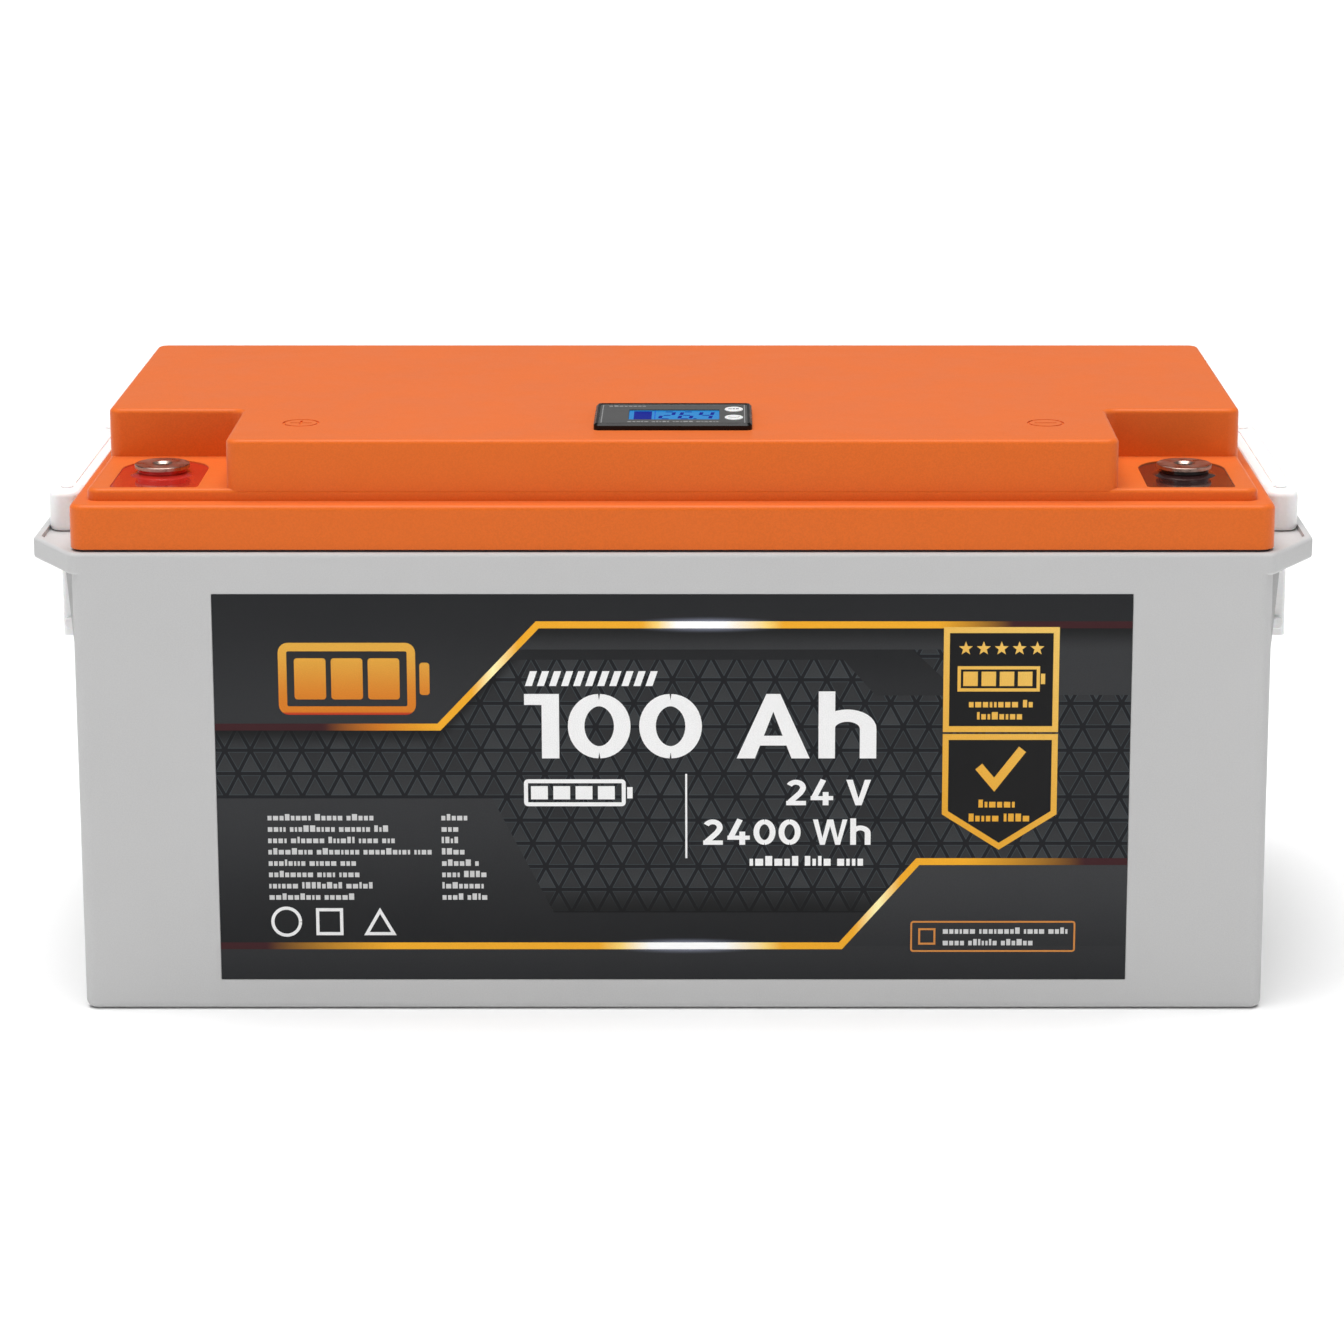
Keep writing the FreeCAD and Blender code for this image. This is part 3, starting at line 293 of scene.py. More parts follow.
# ---- label layout, in millimetres ----------------------------------------------------------------
# The artwork's heights run from BOTTOM to TOP, and are stretched slightly to fit the label.
LABEL_LOW, LABEL_HIGH = (Vector(corner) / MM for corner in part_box("front_label"))
LEFT, RIGHT = LABEL_LOW.x, LABEL_HIGH.x
BOTTOM, TOP = 12.4, 169.4
STRETCH = (LABEL_HIGH.z - LABEL_LOW.z) / (TOP - BOTTOM)
FACE_Y = LABEL_LOW.y
LAYER = 0.015                # each printed layer stands this far in front of the one below
LINE = 2.8                   # width of the gold lines
UPPER_LOW, UPPER_HIGH = 116.0, 157.2
UPPER_KNEES = (-93.9, -54.0)
LOWER_LOW, LOWER_HIGH = 26.3, 61.1
LOWER_KNEES = (68.0, 99.1)
MESH_PERIOD, MESH_ROW = 10.3, 9.5
MESH_TOP, MESH_BOTTOM = 143.2, 40.1
BAR_LOW, PLATE_LOW = 147.3, 129.0
TABLE_TOP = 87.0             # of the panel behind the table of small print
BADGE_LEFT, BADGE_RIGHT = 108.6, 154.9
BADGE_TOP, BADGE_SPLIT, BADGE_SHOULDER, BADGE_POINT = 156.3, 113.6, 80.5, 66.0
BADGE_BORDER, BADGE_GAP = 2.4, 0.4   # the gap is from the split to each part

GOLD, GOLD_PALE, GOLD_DEEP = rgb(236, 168, 40), rgb(250, 214, 120), rgb(200, 116, 30)
GOLD_BRIGHT, MAROON, GLINT = rgb(255, 244, 180), rgb(58, 26, 30), rgb(255, 255, 255)


def follow_line(g, knees, low, high):
    """How far each point of the label is below a gold line, in millimetres."""
    x, z = g.artwork()
    return g.math("SUBTRACT", g.span(x, knees[0], knees[1], low, high, False), z)


def mesh_print():
    """The label's triangle mesh: bevelled tiles between dark bars, shaded below the gold line."""
    g = Graph("label_mesh_print")
    x, z = g.artwork()
    row = g.math("DIVIDE", g.math("SUBTRACT", z, MESH_BOTTOM), MESH_ROW)
    column = g.math("DIVIDE", x, MESH_PERIOD)
    lean = g.math("MULTIPLY", row, 0.5)
    families = [row, g.math("ADD", column, lean), g.math("SUBTRACT", column, lean)]
    slant = 1.0 / math.hypot(1 / MESH_PERIOD, 0.5 / MESH_ROW)
    nearest, cells = None, []
    for value, spacing in zip(families, (MESH_ROW, slant, slant)):
        inside = g.math("FRACT", value)
        edge = g.math("MULTIPLY", g.math("MINIMUM", inside, g.math("SUBTRACT", 1.0, inside)), spacing)
        nearest = edge if nearest is None else g.math("MINIMUM", nearest, edge)
        cells.append(g.math("FLOOR", value))
    cell = g.node("ShaderNodeCombineXYZ", X=cells[0], Y=cells[1], Z=cells[2]).outputs[0]
    shade = g.node("ShaderNodeTexWhiteNoise", Vector=cell).outputs[0]
    tile = g.mix(shade, rgb(44, 45, 47), rgb(60, 62, 64))
    rising = g.math("FRACT", row)
    tile = g.mix(g.span(rising, 0.0, 1.0, 0.0, 0.3), tile, rgb(40, 41, 43))
    tile = g.mix(g.span(nearest, 1.05, 0.75, 0.0, 0.5), tile, rgb(78, 90, 96))
    tone = g.mix(g.span(nearest, 0.78, 0.6), tile, rgb(26, 27, 31))
    below = follow_line(g, UPPER_KNEES, UPPER_LOW, UPPER_HIGH)
    tone = g.mix(g.span(below, 1.0, 9.0, 0.85, 0.0), tone, rgb(12, 12, 13))
    tone = g.mix(g.span(z, MESH_BOTTOM, MESH_BOTTOM + 14, 0.85, 0.0), tone, rgb(14, 14, 15))
    finish_print(g, tone)
    return g.material


# ---- mesh helpers -------------------------------------------------------------------------------
def on_front(x, y, level):
    """A point of the label, from millimetres across and up the artwork, and out of its face."""
    return Vector((x, FACE_Y - level, LABEL_LOW.z + (y - BOTTOM) * STRETCH)) * MM


def piece(name, vertices, faces, material, body):
    """A mesh with one material, which rides on a body."""
    mesh = bpy.data.meshes.new(name)
    mesh.from_pydata(vertices, [], faces)
    mesh.validate()
    mesh.update()
    made = bpy.data.objects.new(name, mesh)
    bpy.context.collection.objects.link(made)
    mesh.materials.append(material)
    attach(made, body)
    return made


def area_sign(outline):
    """Twice an outline's area, below zero where it runs clockwise."""
    total = 0.0
    for (x0, y0), (x1, y1) in zip(outline, outline[1:] + outline[:1]):
        total += x0 * y1 - x1 * y0
    return total


STAGGER = 0.0015             # neighbouring plates differ this much, so that none share a face


def plates(name, outlines, layer, material, to_point=on_front, body=CASE):
    """Thin closed plates over outlines of x, y points in millimetres, one above another by layer."""
    vertices, faces = [], []
    low = layer * LAYER
    for index, outline in enumerate(outlines):
        high = low + LAYER + STAGGER * (index % 3)
        points = outline if area_sign(outline) > 0 else outline[::-1]
        start, count = len(vertices), len(points)
        vertices += [to_point(x, y, low) for x, y in points]
        vertices += [to_point(x, y, high) for x, y in points]
        faces.append([start + count + i for i in range(count)])
        faces.append([start + i for i in reversed(range(count))])
        for i in range(count):
            after = (i + 1) % count
            faces.append([start + i, start + after, start + count + after, start + count + i])
    return piece(name, vertices, faces, material, body)


def rectangle(x0, x1, y0, y1):
    return [(x0, y0), (x1, y0), (x1, y1), (x0, y1)]


def rounded_rectangle(x0, x1, y0, y1, radius, steps=5):
    outline = []
    corners = ((x1 - radius, y0 + radius, -90), (x1 - radius, y1 - radius, 0),
               (x0 + radius, y1 - radius, 90), (x0 + radius, y0 + radius, 180))
    for cx, cy, begin in corners:
        for step in range(steps + 1):
            angle = math.radians(begin + 90 * step / steps)
            outline.append((cx + radius * math.cos(angle), cy + radius * math.sin(angle)))
    return outline


def frame_strips(outline, width):
    """A closed outline's border as one strip for each side, mitred at the corners."""
    inner = inset(outline, width)
    count = len(outline)
    strips = []
    for i in range(count):
        after = (i + 1) % count
        strips.append([outline[i], outline[after], inner[after], inner[i]])
    return strips


def inset(outline, width):
    """A convex outline moved inwards by width."""
    points = list(outline)
    if area_sign(points) < 0:
        points.reverse()
    count = len(points)
    moved = []
    for i in range(count):
        before, here, after = (Vector(points[j % count]) for j in (i - 1, i, i + 1))
        first, second = (here - before).normalized(), (after - here).normalized()
        normal_a, normal_b = Vector((-first.y, first.x)), Vector((-second.y, second.x))
        middle = (normal_a + normal_b).normalized()
        corner = here + middle * (width / max(middle.dot(normal_a), 0.2))
        moved.append((corner.x, corner.y))
    return moved


def ribbon(points, width):
    """The outline of a line of constant width through points, with mitred corners."""
    sides = ([], [])
    for i, here in enumerate(points):
        here = Vector(here)
        before = Vector(points[i - 1]) if i else here
        after = Vector(points[i + 1]) if i + 1 < len(points) else here
        first = (here - before).normalized() if i else (after - here).normalized()
        second = (after - here).normalized() if i + 1 < len(points) else first
        normal = Vector((-first.y - second.y, first.x + second.x)).normalized()
        reach = width / 2 / normal.dot(Vector((-first.y, first.x)))
        sides[0].append(tuple(here + normal * reach))
        sides[1].append(tuple(here - normal * reach))
    return sides[0] + sides[1][::-1]


WORD = (4, 9)                # fewest and most letters in a word of small print
LETTER_WIDTHS = (0.35, 0.55, 0.62, 0.7, 0.8)    # shares of the line's height, as the next three are
LETTER_HEIGHTS = (0.72, 0.72, 0.72, 1.0)
LETTER_GAP, WORD_GAP = 0.22, 0.45
NARROWEST_END = 0.4


def letter_blocks(x0, x1, middle, height, seed):
    """Blocks that stand for a line of small print: widths vary as letters do, with word gaps."""
    draw = random.Random(seed)
    blocks, x, left_in_word = [], x0, draw.randint(*WORD)
    while x < x1 - height * NARROWEST_END:
        width = min(height * draw.choice(LETTER_WIDTHS), x1 - x)
        tall = height * draw.choice(LETTER_HEIGHTS)
        base = middle - height / 2
        blocks.append(rectangle(x, x + width, base, base + tall))
        left_in_word -= 1
        x += width + height * LETTER_GAP
        if left_in_word == 0:
            x += height * WORD_GAP
            left_in_word = draw.randint(*WORD)
    return blocks


def bow(cx, cy, radius_x, radius_y, begin, end, steps=20):
    """Points along part of an ellipse."""
    angles = [math.radians(begin + (end - begin) * i / steps) for i in range(steps + 1)]
    return [(cx + radius_x * math.cos(a), cy + radius_y * math.sin(a)) for a in angles]


BOLD = 0.19                  # stroke width of the figures, which are one unit high


def figure_shapes():
    """Plain bold figures and unit letters: each one's width, and its outlines."""
    near = BOLD / 2
    halves = [bow(0.36, 0.5, 0.36 - near, 0.5 - near, turn, turn + 180) for turn in (-90, 90)]
    zero = [ribbon(half, BOLD) for half in halves]
    one = [[(0.0, 0.83), (0.2, 0.83), (0.2, 0.0), (0.4, 0.0), (0.4, 1.0), (0.0, 1.0)]]
    hook = bow(0.33, 0.69, 0.23, 0.31 - near, 155, -20, 16) + [(0.47, 0.48), (0.13, 0.12)]
    two = [ribbon(hook, BOLD), rectangle(0.02, 0.66, 0.0, BOLD * 0.9)]
    four = [ribbon([(0.44, 1.0), (0.12, 0.26)], BOLD), rectangle(0.03, 0.76, 0.2, 0.2 + BOLD * 0.85)]
    four.append(rectangle(0.42, 0.42 + BOLD, 0.0, 0.52))
    vee = [(0.0, 1.0), (0.21, 1.0), (0.4, 0.27), (0.6, 1.0), (0.8, 1.0), (0.5, 0.0), (0.3, 0.0)]
    legs = [[(0.0, 0.0), (0.21, 0.0), (0.5, 1.0), (0.34, 1.0)]]
    legs.append([(0.84, 0.0), (0.63, 0.0), (0.34, 1.0), (0.5, 1.0)])
    legs.append(rectangle(0.2, 0.64, 0.2, 0.2 + BOLD * 0.8))
    arch = bow(0.33, 0.46, 0.24, 0.3 - near, 180, 0, 16) + [(0.57, 0.0)]
    aitch = [rectangle(0.0, BOLD, 0.0, 1.04), ribbon(arch, BOLD)]
    double = [[(x * 0.78, y) for x, y in vee], [(0.5 + x * 0.78, y) for x, y in vee]]
    return {"0": (0.72, zero), "1": (0.4, one), "2": (0.68, two), "4": (0.78, four), "V": (0.8, [vee]),
            "A": (0.84, legs), "h": (0.665, aitch), "W": (1.12, double), " ": (0.2, [])}


FIGURE_GAP = 0.1


def figures(text, x0, x1, y0, y1):
    """Outlines of a row of figures that fills a rectangle."""
    shapes = figure_shapes()
    total = sum(shapes[letter][0] + FIGURE_GAP for letter in text) - FIGURE_GAP
    across, upward = (x1 - x0) / total, y1 - y0
    outlines, x = [], 0.0
    for letter in text:
        width, parts = shapes[letter]
        for part in parts:
            outlines.append([(x0 + (x + px) * across, y0 + py * upward) for px, py in part])
        x += width + FIGURE_GAP
    return outlines


def slanted_ticks(x0, x1, y0, y1, count):
    """A row of leaning bars."""
    pitch = (x1 - x0) / count
    lean, width = (y1 - y0) * 0.35, pitch * 0.58
    starts = [x0 + pitch * i for i in range(count)]
    return [[(x, y0), (x + width, y0), (x + width + lean, y1), (x + lean, y1)] for x in starts]


# ---- label --------------------------------------------------------------------------------------
UPPER_BEND = [(UPPER_KNEES[0], UPPER_LOW), (UPPER_KNEES[1], UPPER_HIGH)]
UPPER_ROUTE = [(LEFT, UPPER_LOW), *UPPER_BEND, (RIGHT, UPPER_HIGH)]
LOWER_BEND = [(LOWER_KNEES[0], LOWER_LOW), (LOWER_KNEES[1], LOWER_HIGH)]
LOWER_ROUTE = [(LEFT, LOWER_LOW), *LOWER_BEND, (RIGHT, LOWER_HIGH)]
UPPER_GLINT, LOWER_GLINT = 13.4, 5.4
GLINT_REACH = (36.0, 3.6)


def label_panels():
    upper_halo = [(UPPER_GLINT, UPPER_HIGH, *GLINT_REACH)]
    lower_halo = [(LOWER_GLINT, LOWER_LOW, *GLINT_REACH)]
    tones = rgb(50, 51, 53), rgb(36, 37, 39)
    upper = gradient_print("label_upper_print", UPPER_LOW, TOP, *tones, upper_halo)
    outline = [(LEFT, TOP), *UPPER_ROUTE, (RIGHT, TOP)]
    plates("label_upper_panel", [outline], 2, upper)

    # The bar under the upper line, and the dark plate below it with its slanted end
    tones = rgb(56, 57, 59), rgb(22, 23, 24)
    bar = gradient_print("label_bar_print", 146.0, UPPER_HIGH, *tones, upper_halo)
    left_x = UPPER_KNEES[1] - 8
    outline = [(left_x, UPPER_HIGH), (left_x - 6.5, BAR_LOW), (RIGHT, BAR_LOW), (RIGHT, UPPER_HIGH)]
    plates("label_bar", [outline, rectangle(150.0, RIGHT, PLATE_LOW, BAR_LOW)], 1, bar)
    tones = rgb(42, 43, 45), rgb(33, 34, 36)
    plate = gradient_print("label_plate_print", PLATE_LOW, BAR_LOW, *tones)
    outline = [(left_x - 6.5, BAR_LOW), (left_x - 10, MESH_TOP), (68.5, MESH_TOP), (81.5, 128.8)]
    outline += [(110.0, 128.8), (110.0, 134.5), (96.0, BAR_LOW)]
    plates("label_plate", [outline], 1.6, plate)

    tones = rgb(30, 31, 33), rgb(54, 55, 57)
    lower = gradient_print("label_lower_print", LOWER_LOW, TABLE_TOP, *tones, lower_halo)
    outline = [(LEFT, TABLE_TOP), (LEFT, LOWER_LOW), LOWER_BEND[0], (82.0, 42.0), (80.0, MESH_BOTTOM)]
    outline += [(-48.4, MESH_BOTTOM), (-72.8, TABLE_TOP)]
    plates("label_lower_left_panel", [outline], 1, lower)
    tones = rgb(38, 39, 41), rgb(60, 61, 63)
    corner = gradient_print("label_corner_print", BOTTOM, LOWER_HIGH, *tones)
    outline = [*LOWER_BEND, (RIGHT, LOWER_HIGH), (RIGHT, LOWER_LOW)]
    plates("label_lower_right_panel", [outline], 1, corner)
    tones = rgb(40, 41, 43), rgb(46, 47, 49)
    foot = gradient_print("label_foot_print", BOTTOM, LOWER_LOW, *tones, lower_halo)
    plates("label_foot", [rectangle(LEFT, RIGHT, BOTTOM, LOWER_LOW)], 1, foot)


def gold_lines():
    """The two bent gold lines, each fading to maroon at its ends and white at its glint."""
    upper = [(LEFT, MAROON), (-140.0, MAROON), (-118.0, GOLD_DEEP), (-94.0, GOLD), (-80.0, GOLD)]
    upper += [(-72.0, GOLD_BRIGHT), (-62.0, GOLD), (-12.0, GOLD), (-6.0, GOLD_PALE), (2.0, GLINT)]
    upper += [(20.0, GLINT), (38.0, GOLD_PALE), (44.0, GOLD), (106.0, GOLD), (136.0, MAROON)]
    upper.append((RIGHT, MAROON))
    gold = striped_print("label_upper_gold", upper)
    plates("label_upper_line", [ribbon(UPPER_ROUTE, LINE)], 3, gold)
    lower = [(LEFT, MAROON), (-165.0, MAROON), (-114.0, GOLD), (-30.0, GOLD), (-21.0, GOLD_PALE)]
    lower += [(-9.0, GLINT), (20.0, GLINT), (38.0, GOLD_PALE), (44.0, GOLD), (74.0, GOLD)]
    lower += [(83.0, GOLD_BRIGHT), (92.0, GOLD), (118.0, GOLD), (166.0, MAROON), (RIGHT, MAROON)]
    gold = striped_print("label_lower_gold", lower)
    plates("label_lower_line", [ribbon(LOWER_ROUTE, LINE)], 3, gold)


STAR_NOTCH = 0.42            # how far in a star's inner corners are, as a share of its radius


def star(cx, cy, radius):
    points = []
    for i in range(10):
        reach = radius if i % 2 == 0 else radius * STAR_NOTCH
        angle = math.radians(90 + 36 * i)
        points.append((cx + reach * math.cos(angle), cy + reach * math.sin(angle)))
    return points


def badge():
    """The framed badge on the right: five stars and a gauge above, a tick in a shield below."""
    middle = (BADGE_LEFT + BADGE_RIGHT) / 2
    upper = rectangle(BADGE_LEFT, BADGE_RIGHT, BADGE_SPLIT + BADGE_GAP, BADGE_TOP)
    lower = [(BADGE_LEFT, BADGE_SPLIT - BADGE_GAP), (BADGE_LEFT, BADGE_SHOULDER), (middle, BADGE_POINT)]
    lower += [(BADGE_RIGHT, BADGE_SHOULDER), (BADGE_RIGHT, BADGE_SPLIT - BADGE_GAP)]
    gold = plain_print("label_badge_gold", GOLD, GOLD_PALE)
    black = plain_print("label_badge_black", rgb(24, 24, 25))
    plates("label_badge_frame", [upper, lower], 3.2, gold)
    fields = [inset(upper, BADGE_BORDER), inset(lower, BADGE_BORDER)]
    plates("label_badge_field", fields, 4.2, black)
    marks = [star(middle + 7.15 * i, 147.7, 2.9) for i in range(-2, 3)]
    # A cell gauge and a tick stand where the figures are
    marks += frame_strips(rectangle(middle - 17.5, middle + 15.5, 130.4, 140.6), 1.3)
    marks.append(rectangle(middle + 15.9, middle + 17.6, 133.4, 137.6))
    starts = [middle - 15.2 + 7.3 * i for i in range(4)]
    marks += [rectangle(x, x + 5.8, 132.6, 138.4) for x in starts]
    marks.append(ribbon([(middle - 8.5, 100.0), (middle - 2.2, 92.6), (middle + 9.0, 107.0)], 3.6))
    rows = ((12.8, 125.5, 3.0), (9.5, 120.6, 3.0), (8.4, 84.9, 3.2), (12.3, 79.2, 3.2))
    for seed, (half, row, height) in enumerate(rows, 5):
        marks += letter_blocks(middle - half, middle + half, row, height, seed)
    plates("label_badge_marks", marks, 5.2, gold)


def emblem():
    """A plain battery sign: outline, pole and three bars, gold above and red below."""
    g = Graph("label_emblem_print")
    height = g.artwork()[1]
    left, right, low, high = -158.0, -103.0, 121.0, 150.0
    upper = g.mix(g.span(height, low + 3.0, high), rgb(222, 128, 36), rgb(234, 176, 70))
    finish_print(g, g.mix(g.span(height, 121.4, 122.4), rgb(196, 58, 32), upper))
    shell = rounded_rectangle(left, right, low, high, 4.0)
    marks = frame_strips(shell, 3.4)
    marks.append(rounded_rectangle(right + 1.6, right + 5.6, low + 8, high - 8, 1.2))
    width = (right - left - 17.0) / 3
    for i in range(3):
        x = left + 6.4 + i * (width + 2.1)
        marks.append(rounded_rectangle(x, x + width, low + 6.2, high - 6.2, 1.2))
    plates("label_emblem", marks, 4.4, g.material)


TABLE_LEFT, TABLE_VALUES = -163.7, -93.5      # where the table's two columns start
TABLE_FIRST, TABLE_PITCH = 79.3, 4.66
TABLE_ROWS = ((43.0, 11.0), (50.2, 7.6), (52.2, 7.6), (66.8, 9.6),    # lengths of the two columns
              (36.0, 15.6), (38.0, 19.0), (43.0, 19.0), (34.6, 19.6))
SMALL = 2.6                  # height of the small print


def white_print():
    """Everything in white: the ratings, the ticks, the gauge, and the rows of small print."""
    ink = plain_print("label_white_print", rgb(250, 250, 250))
    pale = plain_print("label_pale_print", rgb(214, 214, 214))
    marks = figures("100 Ah", -59.6, 81.9, 103.3, 129.4)
    marks += slanted_ticks(-59.2, -6.0, 132.6, 138.6, 11)
    marks += frame_strips(rounded_rectangle(-60.0, -19.0, 83.8, 94.8, 1.6), 1.6)
    marks.append(rectangle(-18.4, -16.2, 87.0, 91.6))
    starts = [-57.2 + 9.0 * i for i in range(4)]
    marks += [rectangle(x, x + 6.8, 86.6, 92.0) for x in starts]
    marks.append(rectangle(5.0, 5.8, 62.5, 97.0))
    marks += figures("24 V", 45.5, 79.9, 84.2, 94.6)
    marks += figures("2400 Wh", 12.0, 79.9, 68.0, 78.4)
    marks += letter_blocks(31.0, 78.7, 61.4, 4.0, 23)
    plates("label_white_marks", marks, 3, ink)

    lines = []
    for i, (length, value) in enumerate(TABLE_ROWS):
        middle = TABLE_FIRST - i * TABLE_PITCH
        lines += letter_blocks(TABLE_LEFT, TABLE_LEFT + length, middle, SMALL, 30 + i)
        lines += letter_blocks(TABLE_VALUES, TABLE_VALUES + value, middle, SMALL, 50 + i)
    lines += letter_blocks(109.6, 160.6, 32.6, SMALL, 71)
    lines += letter_blocks(109.6, 147.5, 27.8, SMALL, 72)
    plates("label_small_print", lines, 3, pale)


def signs():
    """Three plain outline signs in the lower left corner, and a bordered box on the right."""
    ink = plain_print("label_sign_print", rgb(246, 246, 246))
    middle, reach, stroke = 36.3, 5.6, 1.3
    marks = [ribbon(bow(-157.0, middle, reach, reach, 0, 359, 40), stroke)]
    marks += frame_strips(rectangle(-145.0, -134.0, middle - reach, middle + reach), stroke)
    triangle = [(-125.6, middle - reach), (-112.4, middle - reach), (-119.0, middle + 5.8)]
    marks += frame_strips(triangle, stroke)
    plates("label_signs", marks, 3, ink)
    box = plain_print("label_box_print", rgb(214, 140, 70))
    marks = frame_strips(rounded_rectangle(96.4, 163.4, 23.8, 36.6, 1.2), 0.7)
    marks += frame_strips(rectangle(99.6, 106.6, 26.8, 33.6), 0.8)
    plates("label_box", marks, 3, box)


def label():
    paint("front_label", mesh_print())
    label_panels()
    gold_lines()
    badge()
    emblem()
    white_print()
    signs()


# ---- CAD nodes ----------------------------------------------------------------------------------
def paint(node, material):
    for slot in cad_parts[node].material_slots:
        slot.material = material


def paint_all(names, material):
    for name in names:
        paint(name, material)


# ---- terminals ----------------------------------------------------------------------------------
THREAD_START, THREAD_DEPTH = 1.8, 16.0        # below the disc's top, in millimetres


def terminal_threads(name, centre, low, high):
    """The screw thread seen inside a terminal's hole: a ridge that winds up the wall."""
    pitch, wall, crest, half, per_turn = 1.25, 3.42, 3.16, 0.5, 28
    steps = int((high - low) / pitch * per_turn)
    cx, cy = centre.x / MM, centre.y / MM
    vertices, faces = [], []
    for i in range(steps + 1):
        angle = 2 * math.pi * i / per_turn
        z = low + pitch * i / per_turn
        for radius, dz in ((wall, -half), (crest, 0.0), (wall, half)):
            across, along = radius * math.cos(angle), radius * math.sin(angle)
            vertices.append(Vector((cx + across, cy + along, z + dz)) * MM)
    for i in range(steps):
        a, b = 3 * i, 3 * i + 3
        faces += [[a, a + 1, b + 1, b], [a + 1, a + 2, b + 2, b + 1], [a + 2, a, b, b + 2]]
    faces += [[0, 2, 1], [3 * steps, 3 * steps + 1, 3 * steps + 2]]
    return piece(name, vertices, faces, HOLE_SHADED_METAL, CASE)


# ---- meter --------------------------------------------------------------------------------------
DISPLAY_GLOSS = 0.04


def display_glass():
    """A backlit blue display with a faint dot grid."""
    g = Graph("display_blue")
    glow = g.noise(0.02, 1.0)
    tone = g.mix(glow, (0.008, 0.15, 0.40, 1.0), (0.012, 0.20, 0.49, 1.0))
    dots = g.node("ShaderNodeTexChecker", Vector=g.place, Scale=2200.0).outputs[1]
    tone = g.mix(g.math("MULTIPLY", dots, 0.06), tone, rgb(10, 60, 150))
    g.surface(Base_Color=tone, Roughness=0.2)
    g.feed(g.shader.inputs["Emission Color"], tone)
    g.shader.inputs["Emission Strength"].default_value = 0.25
    g.shader.inputs["Specular IOR Level"].default_value = DISPLAY_GLOSS
    return g.material


def on_top(level_mm):
    """Turns x, y and a rise above level_mm into a point, for prints that face up."""
    def to_point(x, y, level):
        return Vector((x, y, level_mm + level)) * MM
    return to_point


SEGMENTS = {"2": "abged", "4": "fgbc", "6": "afgedc"}
SEGMENT_LEAN = 0.1


def digit(shape, x, y, width, height, thick):
    """One seven-segment figure with its lower left corner at x, y; its top leans right."""
    half = height / 2
    bars = {
        "a": (0, height, width, height), "d": (0, 0, width, 0), "g": (0, half, width, half),
        "f": (0, half, 0, height), "b": (width, half, width, height),
        "e": (0, 0, 0, half), "c": (width, 0, width, half),
    }
    outlines, gap = [], thick * 0.6
    for key in SEGMENTS[shape]:
        x0, y0, x1, y1 = bars[key]
        if y0 == y1:
            ends = [(x0 + gap, y0), (x1 - gap, y1)]
        else:
            ends = [(x0, y0 + gap), (x1, y1 - gap)]
        ends = [(x + px + SEGMENT_LEAN * py, y + py) for px, py in ends]
        outlines.append(ribbon(ends, thick))
    return outlines


def meter_details():
    """The display's battery sign, rule and figures, and the prints on the faceplate and buttons."""
    glass = on_top((Vector(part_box("meter_lcd")[1]) / MM).z)
    face_low, face_high = (Vector(c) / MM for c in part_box("meter_faceplate"))
    left, low, high = -18.0, -78.7, -58.1
    dark = plain_print("display_segment", rgb(18, 34, 138))
    dark.node_tree.nodes["Principled BSDF"].inputs["Specular IOR Level"].default_value = DISPLAY_GLOSS
    sign = rectangle(left + 1.9, left + 9.2, low + 1.6, high - 1.6)
    plates("meter_battery_sign", [sign], 0, dark, glass)
    marks, first_x, pitch = [], left + 12.4, 7.9
    for i, shape in enumerate("264"):
        marks += digit(shape, first_x + i * pitch, low + 3.0, 4.6, 14.6, 1.5)
    point_x = first_x + 2 * pitch
    marks.append(rectangle(point_x - 2.0, point_x - 0.7, low + 2.4, low + 4.0))
    plates("meter_digits", marks, 0, dark, glass)
    line = plain_print("display_rule", rgb(20, 90, 200))
    rule = rectangle(left + 10.3, left + 10.7, low + 0.6, high - 0.6)
    plates("meter_rule", [rule], 0, line, glass)

    plate = on_top(face_high.z)
    border = inset(rectangle(face_low.x, face_high.x, face_low.y, face_high.y), 1.0)
    pale = plain_print("faceplate_print", rgb(150, 150, 150))
    marks = frame_strips(border, 0.35)
    marks += letter_blocks(-26.6, -10.0, -50.4, 2.2, 81)
    marks += letter_blocks(-18.4, 19.0, -83.4, 2.2, 82)
    plates("meter_faceplate_print", marks, 0, pale, plate)

    ink = plain_print("button_print", rgb(90, 90, 92))
    for node, body in BUTTONS.items():
        low, high = (Vector(c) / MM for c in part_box(node))
        middle_x, middle_y = (low.x + high.x) / 2, (low.y + high.y) / 2
        if node.endswith("rear"):
            marks = letter_blocks(middle_x - 2.2, middle_x + 2.2, middle_y, 1.7, 91)
        else:
            marks = [ribbon(bow(middle_x, middle_y + 1.2, 2.4, 2.4, 200, 340, 12), 0.5)]
        plates(node + "_mark", marks, 0, ink, on_top(high.z), body)


# ---- the battery --------------------------------------------------------------------------------
# Linear light
ORANGE, GREY, WHITE = (0.73, 0.138, 0.012, 1.0), (0.54, 0.54, 0.54, 1.0), (0.9, 0.9, 0.9, 1.0)


